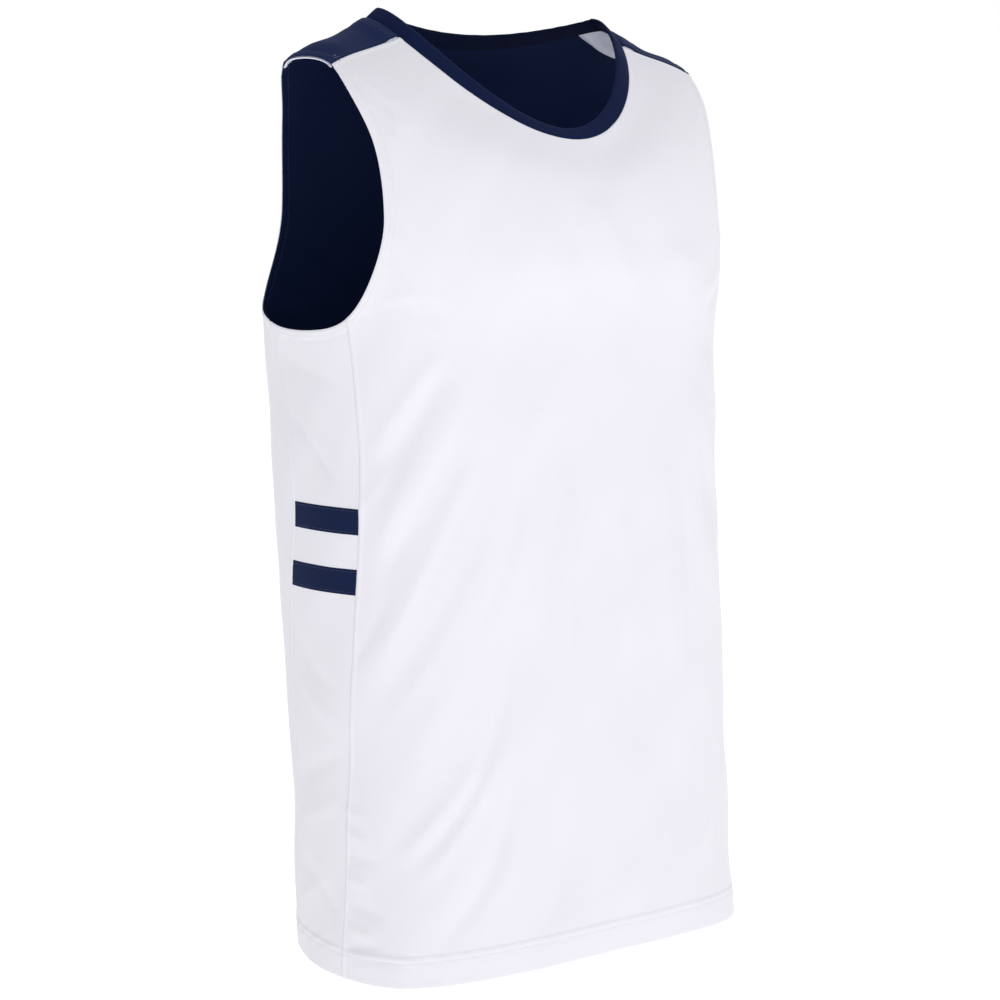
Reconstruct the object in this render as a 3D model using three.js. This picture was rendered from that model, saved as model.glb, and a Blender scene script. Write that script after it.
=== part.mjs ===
// Reversible basketball jersey, filled out as if worn. Millimetres, +Z up.
// The origin is the middle between the high points of the shoulders, beside the neck.
// The front faces -Y and the wearer's left is +X.
import * as THREE from 'three';

// Cloth
const PLY = 1.0;                  // one knit ply
const GAP = 0.3;                  // between pieces at a seam, and between plies
const INNER_LIFT = -(PLY + GAP);  // outer face of the inner ply, below the garment's outer face
const BAND_WIDTH = 14;            // neckband, from its seam to its free edge
const BAND_THICK = 3.2;           // neckband, folded double over the seam
const BAND_PROUD = 0.6;           // how far the band stands out of the cloth beside it
const BAND_RAMP = 3;              // height over which the band's faces rise from its seam
const BAND_ROLL = 1.2;            // rolled free edge of the band
const BAND_SUNK = 0.2;            // the band's faces at its seam, out from the cloth's outer and inner faces

const WHITE = '#eeeef4';
const NAVY = '#27355a';
const KNIT_ROUGHNESS = 0.75;

// Sections of the body, one to a level, numbered 0, 1, 2 ... from the hem up.
// half is half the width, front and back are the depths before and behind the shoulder line, and middle is
// where the section is widest. zFront, zSide and zBack are its heights there. square squares its corners, and
// fall shapes how the height goes from the side to the front. The sides of chest and shoulder are cut away
// by the armholes.
const SECTIONS = [
  { name: 'hem', half: 191, front: 157, back: 91, middle: -33, square: 0.055, fall: 2,
    zFront: -744, zSide: -756, zBack: -746 },
  { name: 'hip', half: 192, front: 148, back: 99, middle: -22, square: 0.04, fall: 2,
    zFront: -625, zSide: -625, zBack: -625 },
  { name: 'waist', half: 194, front: 140, back: 109, middle: -10, square: 0.04, fall: 2,
    zFront: -499, zSide: -500, zBack: -499 },
  { name: 'ribs', half: 196, front: 134, back: 119, middle: 0, square: 0.035, fall: 2,
    zFront: -375, zSide: -374, zBack: -375 },
  { name: 'underarm', half: 198, front: 130, back: 127, middle: 8, square: 0.035, fall: 2,
    zFront: -255, zSide: -257, zBack: -255 },
  { name: 'chest', half: 213, front: 136, back: 124, middle: 7, square: 0.01, fall: 2,
    zFront: -188, zSide: -152, zBack: -167 },
  { name: 'shoulder', half: 203, front: 127, back: 99, middle: 0, square: -0.02, fall: 1.9,
    zFront: -132, zSide: -46, zBack: -69 },
  { name: 'neck', half: 118, front: 106, back: 47, middle: 12, square: -0.01, fall: 1.55,
    zFront: -97, zSide: -2, zBack: -20 },
];
const COLUMNS = ['half', 'front', 'back', 'middle', 'square', 'fall', 'zFront', 'zSide', 'zBack'];
const NECK_LEVEL = SECTIONS.length - 1;

// The left armhole, a closed curve through these knots. angle is in degrees round the body from the front,
// and level counts sections. The four named knots are where a seam meets the armhole.
const ARMHOLE = [
  { angle: 63.9, level: 4.22, seam: 'frontSide' },
  { angle: 54.5, level: 4.58 },
  { angle: 50.5, level: 5.11 },
  { angle: 55.1, level: 5.76 },
  { angle: 72.8, level: 6.23, seam: 'frontYoke' },
  { angle: 90.0, level: 6.19 },
  { angle: 106.5, level: 6.11, seam: 'backYoke' },
  { angle: 125.6, level: 5.75 },
  { angle: 135.8, level: 4.95 },
  { angle: 124.0, level: 4.37 },
  { angle: 99.6, level: 4.16, seam: 'backSide' },
  { angle: 78.5, level: 4.12 },
];

// Side seams: angle at equal steps from the hem up, ending at the armhole's knot.
const SIDE_SEAMS = {
  frontSide: [82.6, 74.7, 68.2, 62.3, 63.9],
  backSide: [115, 106.8, 98.5, 90, 99.6],
};
// Where the yoke's front and back seams leave the neckband
const YOKE_NECK = { frontYoke: 71.5, backYoke: 117.3 };

// Cross tapes on the side panels, by level
const TAPES = [
  { name: 'upper', low: 2.79, high: 2.955 },
  { name: 'lower', low: 2.415, high: 2.575 },
];

// Rows of the panels below the armhole, by level, denser at the hem and at the tapes
const LOW_ROWS = [0, 0.2, 0.45, 0.75, 1.05, 1.35, 1.65, 1.95, 2.2, 2.415, 2.575, 2.79, 2.955, 3.2, 3.5, 3.8];
const HIGH_ROWS = 9;        // rows of front and back beside the armhole
const YOKE_STEPS = 3;       // along a yoke's front or back seam
const YOKE_NECK_STEPS = 5;  // along a yoke's end at the neckband
const SIDE_STEPS = 6;       // across a side panel
const NECK_STEPS = { front: 18, back: 12 };  // along the neckband, before and behind the yokes
// Front and back's rows dip inside the side seams, so that they meet the armhole's corner at an open angle.
// The dip is in levels, and is full at DIP_REACH of the panel's width from each seam.
const UNDERARM_DIP = { front: 0.12, back: 0.34 };
const DIP_REACH = 0.19;

// The largest folds: soft ridges, or troughs where height is negative, each on a curve through three places.
// A place is [angle, level], and width is half the fold's width.
const FOLDS = [
  { from: [-61, 3.30], by: [-45, 3.69], to: [-33, 4.06], width: 11, height: 2.2 },
  { from: [-62, 2.97], by: [-45, 3.44], to: [-32, 3.91], width: 12, height: -2.6 },
  { from: [-63, 2.62], by: [-42, 3.23], to: [-24, 4.00], width: 15, height: 3.6 },
  { from: [-63, 2.33], by: [-41, 3.00], to: [-27, 3.46], width: 12, height: -2.8 },
  { from: [-66, 1.83], by: [-43, 2.55], to: [-16, 3.79], width: 16, height: 3.8 },
  { from: [-62, 1.66], by: [-38, 2.36], to: [-22, 3.05], width: 13, height: -3.0 },
  { from: [-54, 1.33], by: [-33, 2.05], to: [-15, 3.30], width: 18, height: 3.6 },
  { from: [-35, 1.24], by: [-23, 1.78], to: [-14, 2.40], width: 14, height: -3.0 },
  { from: [-58, 0.67], by: [-39, 1.04], to: [-22, 1.63], width: 15, height: 3.0 },
  { from: [-50, 0.30], by: [-28, 1.00], to: [-10, 1.93], width: 17, height: 3.4 },
  { from: [-36, 0.30], by: [-23, 0.92], to: [-10, 1.60], width: 13, height: -2.4 },
  { from: [-9, 1.90], by: [-7, 2.60], to: [-6, 3.27], width: 16, height: 2.4 },
  { from: [2, 2.95], by: [1, 2.35], to: [0, 1.60], width: 14, height: -1.8 },
  { from: [21, 3.20], by: [22, 2.50], to: [21, 1.70], width: 18, height: 2.2 },
  { from: [61, 3.20], by: [46, 3.60], to: [34, 4.00], width: 12, height: 2.2 },
  { from: [63, 2.45], by: [47, 3.05], to: [30, 3.75], width: 15, height: 3.0 },
  { from: [64, 2.15], by: [50, 2.70], to: [36, 3.20], width: 13, height: -2.4 },
  { from: [66, 1.50], by: [46, 2.25], to: [28, 3.10], width: 16, height: 3.0 },
  { from: [60, 0.60], by: [44, 1.20], to: [30, 1.90], width: 16, height: 2.8 },
  { from: [-118, 3.30], by: [-133, 3.75], to: [-150, 4.05], width: 14, height: 2.6 },
  { from: [-112, 2.50], by: [-134, 3.10], to: [-152, 3.70], width: 16, height: 3.2 },
  { from: [-114, 1.60], by: [-136, 2.30], to: [-156, 3.10], width: 17, height: 3.2 },
  { from: [-120, 0.70], by: [-140, 1.30], to: [-158, 2.10], width: 17, height: 3.0 },
  { from: [118, 3.20], by: [134, 3.70], to: [151, 4.05], width: 14, height: 2.6 },
  { from: [112, 2.35], by: [135, 3.00], to: [154, 3.60], width: 16, height: 3.2 },
  { from: [115, 1.50], by: [137, 2.20], to: [157, 2.90], width: 17, height: 3.0 },
  { from: [121, 0.60], by: [141, 1.20], to: [160, 1.90], width: 17, height: 2.8 },
  { from: [176, 3.10], by: [178, 2.20], to: [177, 1.00], width: 20, height: 2.6 },
  { from: [-168, 2.60], by: [-170, 1.80], to: [-168, 0.90], width: 17, height: -2.0 },
];
const MM_PER_DEGREE = 3.0;  // rough lengths of a degree and of a level, for the folds' widths
const MM_PER_LEVEL = 122;
const FOLD_STEPS = 8;       // straight stretches that stand for a fold's curve
const FOLD_TAPER = 0.3;     // share of a fold's length over which each end fades

const radians = THREE.MathUtils.degToRad;

function mix(a, b, share) {
  return a + (b - a) * share;
}

// Catmull-Rom between p1 and p2
function spline(p0, p1, p2, p3, share) {
  const square = share * share;
  return 0.5 * (2 * p1 + (p2 - p0) * share + (2 * p0 - 5 * p1 + 4 * p2 - p3) * square
    + (3 * (p1 - p2) + p3 - p0) * square * share);
}

// A list of numbers read as a smooth curve at a place between 0 and its last index
function along(list, place) {
  const last = list.length - 1;
  const i = Math.min(Math.max(Math.floor(place), 0), last - 1);
  const before = i > 0 ? list[i - 1] : 2 * list[0] - list[1];
  const after = i + 2 <= last ? list[i + 2] : 2 * list[last] - list[last - 1];
  return spline(before, list[i], list[i + 1], after, place - i);
}

const COLUMN_LISTS = Object.fromEntries(COLUMNS.map((name) => [name, SECTIONS.map((row) => row[name])]));

function sectionAt(level) {
  return Object.fromEntries(COLUMNS.map((name) => [name, along(COLUMN_LISTS[name], level)]));
}

// Each shoulder sinks a little between the armhole and the neck: depth is the most that it sinks, at this
// angle, and reach is how many degrees either side it goes. skew moves it towards the neck.
const SHOULDER_HOLLOW = { depth: 5, angle: 95, reach: 32, skew: 1.5 };

function shoulderHollow(angle, level) {
  const { depth, angle: middle, reach, skew } = SHOULDER_HOLLOW;
  const turned = Math.abs(THREE.MathUtils.euclideanModulo(angle + 180, 360) - 180);
  const off = THREE.MathUtils.clamp((turned - middle) / reach, -1, 1);
  const up = THREE.MathUtils.clamp(level - (NECK_LEVEL - 1), 0, 1) ** skew;
  return depth * Math.cos(off * Math.PI / 2) ** 2 * Math.sin(up * Math.PI) ** 2;
}

// A point of the smooth body, before its folds
function bodyPoint(angle, level) {
  const s = sectionAt(level);
  const a = radians(angle);
  const cosine = Math.cos(a);
  const across = (Math.sin(a) + s.square * Math.sin(3 * a)) / (1 - s.square);
  const ahead = (cosine - s.square * Math.cos(3 * a)) / (1 - s.square);
  const depth = cosine >= 0 ? s.front + s.middle : s.back - s.middle;
  const share = Math.abs(cosine) ** (cosine >= 0 ? s.fall : 2);
  const height = mix(s.zSide, cosine >= 0 ? s.zFront : s.zBack, share) - shoulderHollow(angle, level);
  return new THREE.Vector3(s.half * across, s.middle - depth * ahead, height);
}

// Steps for slopes, in degrees and in levels
const ANGLE_STEP = 0.5;
const LEVEL_STEP = 0.02;

function bodyNormal(angle, level) {
  const round = bodyPoint(angle + ANGLE_STEP, level).sub(bodyPoint(angle - ANGLE_STEP, level));
  const above = bodyPoint(angle, Math.min(level + LEVEL_STEP, NECK_LEVEL));
  return round.cross(above.sub(bodyPoint(angle, level - LEVEL_STEP))).normalize();
}

function foldCurve(fold) {
  const points = [];
  for (let i = 0; i <= FOLD_STEPS; i += 1) {
    const share = i / FOLD_STEPS;
    const bend = (k) => mix(mix(fold.from[k], 2 * fold.by[k] - (fold.from[k] + fold.to[k]) / 2, share),
      mix(2 * fold.by[k] - (fold.from[k] + fold.to[k]) / 2, fold.to[k], share), share);
    points.push(new THREE.Vector2(bend(0) * MM_PER_DEGREE, bend(1) * MM_PER_LEVEL));
  }
  return points;
}

const FOLD_CURVES = FOLDS.map(foldCurve);

// How far the folds lift the cloth off the smooth body
function foldLift(angle, level) {
  let lift = 0;
  FOLDS.forEach((fold, index) => {
    const curve = FOLD_CURVES[index];
    const turns = Math.round((angle - fold.by[0]) / 360);
    const place = new THREE.Vector2((angle - 360 * turns) * MM_PER_DEGREE, level * MM_PER_LEVEL);
    let nearest = Infinity;
    let nearestShare = 0;
    for (let i = 0; i < FOLD_STEPS; i += 1) {
      const stretch = curve[i + 1].clone().sub(curve[i]);
      const offset = place.clone().sub(curve[i]);
      const share = THREE.MathUtils.clamp(offset.dot(stretch) / stretch.lengthSq(), 0, 1);
      const distance = offset.sub(stretch.multiplyScalar(share)).length();
      if (distance < nearest) {
        nearest = distance;
        nearestShare = (i + share) / FOLD_STEPS;
      }
    }
    const end = Math.min(nearestShare, 1 - nearestShare) / FOLD_TAPER;
    const fade = THREE.MathUtils.smoothstep(end, 0, 1);
    lift += fold.height * fade * Math.exp(-((nearest / fold.width) ** 2));
  });
  return lift;
}

// A place on the cloth, [angle, level]: the point on its outer face, folds and all, and the way out of it
function clothAt([angle, level]) {
  const out = bodyNormal(angle, level);
  return { point: bodyPoint(angle, level).addScaledVector(out, foldLift(angle, level)), out };
}

function knotOf(seam) {
  return ARMHOLE.findIndex((knot) => knot.seam === seam);
}

// The armhole's place, counted in knots
function armholePlace(count, side) {
  const n = ARMHOLE.length;
  const i = Math.floor(count);
  const knots = [-1, 0, 1, 2].map((k) => ARMHOLE[(i + k + 2 * n) % n]);
  const read = (key) => spline(...knots.map((knot) => knot[key]), count - i);
  return [side * read('angle'), read('level')];
}

// Places along the armhole from one seam's knot to another's, the short way
function armholeRun(fromSeam, toSeam, steps, side) {
  const start = knotOf(fromSeam);
  const ahead = knotOf(toSeam) - start;
  const end = start + ahead - ARMHOLE.length * Math.round(ahead / ARMHOLE.length);
  return range(steps).map((share) => armholePlace(mix(start, end, share), side));
}

function range(steps) {
  return Array.from({ length: steps + 1 }, (_, i) => i / steps);
}

// Heights of a side seam's nodes, by level
function seamLevels(seam) {
  const top = ARMHOLE[knotOf(seam)].level;
  const lastLow = LOW_ROWS[LOW_ROWS.length - 1];
  return [...LOW_ROWS, mix(lastLow, top, 0.5), top];
}

function seamPlace(seam, level, side) {
  const angles = SIDE_SEAMS[seam];
  const top = ARMHOLE[knotOf(seam)].level;
  return [side * along(angles, (level / top) * (angles.length - 1)), level];
}

// A yoke seam, from the armhole to the neckband
function yokeSeam(seam, side) {
  const knot = ARMHOLE[knotOf(seam)];
  return range(YOKE_STEPS).map((share) => [side * mix(knot.angle, YOKE_NECK[seam], share),
    mix(knot.level, NECK_LEVEL, share)]);
}

// A patch between four runs of places: left and right run up, low and high run from left to right
function patch(left, right, low, high) {
  const rows = left.length - 1;
  const columns = low.length - 1;
  return left.map((_, j) => low.map((__, i) => [0, 1].map((k) => {
    const u = i / columns;
    const v = j / rows;
    const corners = mix(mix(low[0][k], low[columns][k], u), mix(high[0][k], high[columns][k], u), v);
    return mix(low[i][k], high[i][k], v) + mix(left[j][k], right[j][k], u) - corners;
  })));
}

function dipShare(share) {
  const near = Math.min(Math.min(share, 1 - share) / DIP_REACH, 1);
  return 1 - (1 - near) ** 2;
}

// Front or back: rows of places from the hem up, from one side seam round to the other
function bodyPanel(name) {
  const isBack = name === 'back';
  const [sideSeam, yoke] = [`${name}Side`, `${name}Yoke`];
  const [startSide, endSide] = isBack ? [1, -1] : [-1, 1];
  // Behind, angles go on past 180 degrees
  const round = ([angle, level]) => [isBack && angle < 0 ? angle + 360 : angle, level];
  const columns = range(2 * YOKE_STEPS + NECK_STEPS[name]);
  const levels = seamLevels(sideSeam);
  const top = levels[levels.length - 1];
  const lowRows = levels.map((level) => {
    const [start] = round(seamPlace(sideSeam, level, startSide));
    const [end] = round(seamPlace(sideSeam, level, endSide));
    const dip = UNDERARM_DIP[name] * (level / top) ** 4;
    return columns.map((share) => [mix(start, end, share), level - dip * dipShare(share)]);
  });
  const edge = (side) => armholeRun(sideSeam, yoke, HIGH_ROWS, side).map(round);
  const startYoke = yokeSeam(yoke, startSide).map(round);
  const endYoke = yokeSeam(yoke, endSide).map(round).reverse();
  const neck = range(NECK_STEPS[name]).map((share) => [
    mix(startYoke[YOKE_STEPS][0], endYoke[0][0], share), NECK_LEVEL]);
  const shoulders = [...startYoke, ...neck.slice(1, -1), ...endYoke];
  const highRows = patch(edge(startSide), edge(endSide), lowRows[lowRows.length - 1], shoulders);
  return [...lowRows, ...highRows.slice(1)];
}

// A side panel: columns from its front seam to its back seam. Its rows are level up to the upper tape, and
// above that they bend more and more until the last one is the armhole's lower edge.
function sidePanel(side) {
  const front = seamLevels('frontSide').map((level) => seamPlace('frontSide', level, side));
  const back = seamLevels('backSide').map((level) => seamPlace('backSide', level, side));
  const columns = range(SIDE_STEPS);
  const straight = front.map((place, j) => columns.map((share) => [
    mix(place[0], back[j][0], share), mix(place[1], back[j][1], share)]));
  const underarm = armholeRun('backSide', 'frontSide', SIDE_STEPS, side).reverse();
  const bent = patch(front, back, straight[0], underarm);
  const lastLevel = LOW_ROWS.indexOf(TAPES[0].high);
  return straight.map((row, j) => {
    const share = Math.max(0, (j - lastLevel) / (front.length - 1 - lastLevel));
    return row.map((place, i) => place.map((value, k) => mix(value, bent[j][i][k], share)));
  });
}

// A yoke: rows run from the armhole to the neckband, columns from its front seam to its back seam
function yokePanel(side) {
  const front = yokeSeam('frontYoke', side);
  const back = yokeSeam('backYoke', side);
  const tip = armholeRun('frontYoke', 'backYoke', YOKE_NECK_STEPS, side);
  const neck = range(YOKE_NECK_STEPS).map((share) => [
    side * mix(YOKE_NECK.frontYoke, YOKE_NECK.backYoke, share), NECK_LEVEL]);
  return patch(front, back, tip, neck);
}

// Points at one lift off a grid of cloth, with each edge drawn in by half the seam's gap
function sheet(cloth, lift) {
  const points = cloth.map((row) => row.map(({ point, out }) => point.clone().addScaledVector(out, lift)));
  const rows = cloth.length - 1;
  const columns = cloth[0].length - 1;
  const inward = (j, i) => {
    const here = points[j][i];
    const pull = new THREE.Vector3();
    const towards = (other) => pull.add(other.clone().sub(here).normalize());
    if (i === 0) towards(points[j][1]);
    if (i === columns) towards(points[j][columns - 1]);
    if (j === 0) towards(points[1][i]);
    if (j === rows) towards(points[rows - 1][i]);
    return here.clone().addScaledVector(pull, GAP / 2);
  };
  return points.map((row, j) => row.map((_, i) => inward(j, i)));
}

// A closed wall between two sheets of points with the same rows and columns
function wall(outer, inner) {
  const rows = outer.length;
  const columns = outer[0].length;
  const positions = [...outer.flat(), ...inner.flat()].flatMap((p) => [p.x, p.y, p.z]);
  const outside = (j, i) => j * columns + i;
  const inside = (j, i) => rows * columns + j * columns + i;
  const index = [];
  const quad = (a, b, c, d) => index.push(a, b, c, a, c, d);
  for (let j = 0; j < rows - 1; j += 1) {
    for (let i = 0; i < columns - 1; i += 1) {
      quad(outside(j, i), outside(j, i + 1), outside(j + 1, i + 1), outside(j + 1, i));
      quad(inside(j, i), inside(j + 1, i), inside(j + 1, i + 1), inside(j, i + 1));
    }
  }
  for (let i = 0; i < columns - 1; i += 1) {
    quad(outside(0, i + 1), outside(0, i), inside(0, i), inside(0, i + 1));
    quad(outside(rows - 1, i), outside(rows - 1, i + 1), inside(rows - 1, i + 1), inside(rows - 1, i));
  }
  for (let j = 0; j < rows - 1; j += 1) {
    quad(outside(j, 0), outside(j + 1, 0), inside(j + 1, 0), inside(j, 0));
    quad(outside(j + 1, columns - 1), outside(j, columns - 1), inside(j, columns - 1),
      inside(j + 1, columns - 1));
  }
  const geometry = new THREE.BufferGeometry();
  geometry.setAttribute('position', new THREE.Float32BufferAttribute(positions, 3));
  geometry.setIndex(index);
  return geometry;
}

// A grid whose columns run the other way, so that its outer face looks out
function mirrored(grid) {
  return grid.map((row) => [...row].reverse());
}

function clothWall(cloth, topLift) {
  return wall(sheet(cloth, topLift), sheet(cloth, topLift - PLY));
}

function knit(colour) {
  return new THREE.MeshStandardMaterial({ color: colour, roughness: KNIT_ROUGHNESS, metalness: 0 });
}

function piece(name, geometry, colour) {
  geometry.computeVertexNormals();
  const mesh = new THREE.Mesh(geometry, knit(colour));
  mesh.name = name;
  return mesh;
}

// Neckband: a closed ring on the neckline, tilted towards the neck
const BAND_TILT = { front: 49, side: 50, back: 38 };  // degrees from upright

function bandTilt(angle) {
  const cosine = Math.cos(radians(angle));
  const end = cosine >= 0 ? BAND_TILT.front : BAND_TILT.back;
  return radians(mix(BAND_TILT.side, end, cosine * cosine));
}

function neckAngles() {
  const { frontYoke, backYoke } = YOKE_NECK;
  const run = (start, end, steps) => range(steps).map((share) => mix(start, end, share));
  const front = run(-frontYoke, frontYoke, NECK_STEPS.front);
  const left = run(frontYoke, backYoke, YOKE_NECK_STEPS);
  const back = run(backYoke, 360 - backYoke, NECK_STEPS.back);
  const right = run(360 - backYoke, 360 - frontYoke, YOKE_NECK_STEPS);
  return [front, left, back, right].flatMap((part) => part.slice(0, -1));
}

// The band's cross-section at an angle. Its lower edge follows the cloth's edge, and above that it tilts.
function bandFrame(angle) {
  const seam = bodyPoint(angle, NECK_LEVEL);
  const next = bodyPoint(angle + ANGLE_STEP, NECK_LEVEL);
  const ahead = next.sub(bodyPoint(angle - ANGLE_STEP, NECK_LEVEL)).normalize();
  const clothOut = bodyNormal(angle, NECK_LEVEL);
  const clothUp = new THREE.Vector3().crossVectors(clothOut, ahead).normalize();
  const inward = new THREE.Vector3(-ahead.y, ahead.x, 0).normalize();
  const upright = new THREE.Vector3().crossVectors(ahead, inward).normalize();
  const tilt = bandTilt(angle);
  const up = inward.clone().multiplyScalar(Math.sin(tilt)).addScaledVector(upright, Math.cos(tilt));
  const out = new THREE.Vector3().crossVectors(ahead, up).normalize();
  return { seam, clothUp, clothOut, up, out };
}

// Half a profile of the band, from its seam to its free edge: rise up the band and depth out of it
const BAND_PROFILE = [
  { rise: GAP / 2, out: BAND_SUNK, hem: true },
  { rise: BAND_RAMP, out: BAND_PROUD },
  { rise: BAND_WIDTH - BAND_ROLL, out: BAND_PROUD },
  { rise: BAND_WIDTH, out: BAND_PROUD - BAND_THICK / 2 },
  { rise: BAND_WIDTH - BAND_ROLL, out: BAND_PROUD - BAND_THICK },
  { rise: BAND_RAMP, out: BAND_PROUD - BAND_THICK },
  { rise: GAP / 2, out: BAND_SUNK - BAND_THICK, hem: true },
];

function neckband() {
  const angles = neckAngles();
  const positions = [];
  for (const angle of angles) {
    const frame = bandFrame(angle);
    for (const corner of BAND_PROFILE) {
      const [up, out] = corner.hem ? [frame.clothUp, frame.clothOut] : [frame.up, frame.out];
      const p = frame.seam.clone().addScaledVector(up, corner.rise).addScaledVector(out, corner.out);
      positions.push(p.x, p.y, p.z);
    }
  }
  const index = [];
  const size = BAND_PROFILE.length;
  for (let j = 0; j < angles.length; j += 1) {
    const next = (j + 1) % angles.length;
    for (let i = 0; i < size; i += 1) {
      const k = (i + 1) % size;
      const [a, b, c, d] = [j * size + i, next * size + i, next * size + k, j * size + k];
      index.push(a, b, c, a, c, d);
    }
  }
  const geometry = new THREE.BufferGeometry();
  geometry.setAttribute('position', new THREE.Float32BufferAttribute(positions, 3));
  geometry.setIndex(index);
  return geometry;
}

const jersey = new THREE.Group();

function addPlies(name, suffix, grid, outerColour, innerColour) {
  const cloth = grid.map((row) => row.map(clothAt));
  jersey.add(piece(`${name}_outer${suffix}`, clothWall(cloth, 0), outerColour));
  jersey.add(piece(`${name}_inner${suffix}`, clothWall(cloth, INNER_LIFT), innerColour));
  return cloth;
}

addPlies('front', '', bodyPanel('front'), WHITE, NAVY);
addPlies('back', '', bodyPanel('back'), WHITE, NAVY);

for (const [hand, side] of [['right', -1], ['left', 1]]) {
  const facingOut = (grid) => (side < 0 ? mirrored(grid) : grid);
  const panel = facingOut(sidePanel(side));
  const cloth = addPlies('side', `_${hand}`, panel, WHITE, NAVY);
  addPlies('yoke', `_${hand}`, facingOut(yokePanel(side)), NAVY, WHITE);
  for (const tape of TAPES) {
    const rows = cloth.slice(LOW_ROWS.indexOf(tape.low), LOW_ROWS.indexOf(tape.high) + 1);
    jersey.add(piece(`tape_${tape.name}_${hand}`, clothWall(rows, GAP + PLY), NAVY));
  }
}

jersey.add(piece('neckband', neckband(), NAVY));

export default jersey;
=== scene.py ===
"""Reversible basketball jersey: cloth, sewing and a plain studio.

The cloth follows the same named sections, armhole and seams as the part's solids. Lengths in the tables are
millimetres, the frame's axes are kept, and every mesh is written in metres.
"""

import math

import bpy
import numpy as np
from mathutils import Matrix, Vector, kdtree


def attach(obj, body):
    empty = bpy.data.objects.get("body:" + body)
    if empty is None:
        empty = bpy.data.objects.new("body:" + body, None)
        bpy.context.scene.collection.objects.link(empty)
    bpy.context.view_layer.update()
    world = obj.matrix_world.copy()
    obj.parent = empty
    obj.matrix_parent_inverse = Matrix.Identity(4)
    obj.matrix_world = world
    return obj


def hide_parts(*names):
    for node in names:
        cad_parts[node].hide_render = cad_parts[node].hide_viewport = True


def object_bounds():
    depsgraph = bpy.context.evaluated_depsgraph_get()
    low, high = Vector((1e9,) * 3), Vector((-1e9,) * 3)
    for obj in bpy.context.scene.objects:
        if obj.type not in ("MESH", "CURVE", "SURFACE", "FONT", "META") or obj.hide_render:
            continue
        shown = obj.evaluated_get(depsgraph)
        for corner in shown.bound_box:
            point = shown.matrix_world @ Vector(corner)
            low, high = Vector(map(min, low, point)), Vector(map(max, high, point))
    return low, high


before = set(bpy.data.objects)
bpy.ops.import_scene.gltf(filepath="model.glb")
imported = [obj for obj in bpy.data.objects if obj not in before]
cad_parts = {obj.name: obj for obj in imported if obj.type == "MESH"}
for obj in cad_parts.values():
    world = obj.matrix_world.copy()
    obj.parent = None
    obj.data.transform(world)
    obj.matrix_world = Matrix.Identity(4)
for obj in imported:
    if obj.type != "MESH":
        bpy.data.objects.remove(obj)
CAD_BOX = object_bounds()

bl_info = {
    "name": "Reversible basketball jersey",
    "version": (1, 0, 0),
    "blender": (4, 5, 0),
    "location": "3D View > Sidebar > Jersey",
    "description": "Builds a two-ply sleeveless jersey with its sewing, and a plain studio",
    "category": "Add Mesh",
}

MM = 0.001
BODY = "root"

# Form, as in the part's source

# Sections of the body from the hem up, one to a level. half is half the width, front and back are depths
# before and behind the shoulder line, middle is where the section is widest, square squares its corners,
# and z_front, z_side and z_back are heights, joined by a curve of power fall.
SECTION_COLUMNS = ("half", "front", "back", "middle", "square", "fall", "z_front", "z_side", "z_back")
SECTIONS = np.array([
    (191, 157, 91, -33, 0.055, 2, -744, -756, -746),   # hem
    (192, 148, 99, -22, 0.04, 2, -625, -625, -625),    # hip
    (194, 140, 109, -10, 0.04, 2, -499, -500, -499),   # waist
    (196, 134, 119, 0, 0.035, 2, -375, -374, -375),    # ribs
    (198, 130, 127, 8, 0.035, 2, -255, -257, -255),    # underarm
    (213, 136, 124, 7, 0.01, 2, -188, -152, -167),     # chest
    (203, 127, 99, 0, -0.02, 1.9, -132, -46, -69),     # shoulder
    (118, 106, 47, 12, -0.01, 1.55, -97, -2, -20),     # neck
])
NECK_LEVEL = len(SECTIONS) - 1

# The left armhole: angle round the body from the front, and level
ARMHOLE = np.array([
    (63.9, 4.22), (54.5, 4.58), (50.5, 5.11), (55.1, 5.76), (72.8, 6.23), (90.0, 6.19),
    (106.5, 6.11), (125.6, 5.75), (135.8, 4.95), (124.0, 4.37), (99.6, 4.16), (78.5, 4.12),
])
ARMHOLE_KNOTS = {"front_side": 0, "front_yoke": 4, "back_yoke": 6, "back_side": 10}
SIDE_SEAMS = {
    "front_side": (82.6, 74.7, 68.2, 62.3, 63.9),
    "back_side": (115, 106.8, 98.5, 90, 99.6),
}
YOKE_NECK = {"front_yoke": 71.5, "back_yoke": 117.3}
TAPES = {"upper": (2.79, 2.955), "lower": (2.415, 2.575)}

PANEL_ROWS = (0, 0.2, 0.45, 0.75, 1.05, 1.35, 1.65, 1.95, 2.2, 2.415, 2.575, 2.79, 2.955, 3.2, 3.5, 3.8)
YOKE_STEPS = 3
NECK_STEPS = {"front": 18, "back": 12}
UNDERARM_DIP = {"front": 0.12, "back": 0.34}
DIP_REACH = 0.19
BAND_TILT = {"front": 49, "side": 50, "back": 38}
HOLLOW_DEPTH, HOLLOW_ANGLE, HOLLOW_REACH, HOLLOW_SKEW = 5, 95, 32, 1.5

MM_PER_DEGREE = 3.0
MM_PER_LEVEL = 122
ANGLE_STEP = 0.5
LEVEL_STEP = 0.02
TREE_SPACING = 0.4

FOLD_STEPS = 8
FOLD_TAPER = 0.3
LARGE_CREST, SMALL_CREST = 2.0, 1.7

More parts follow.
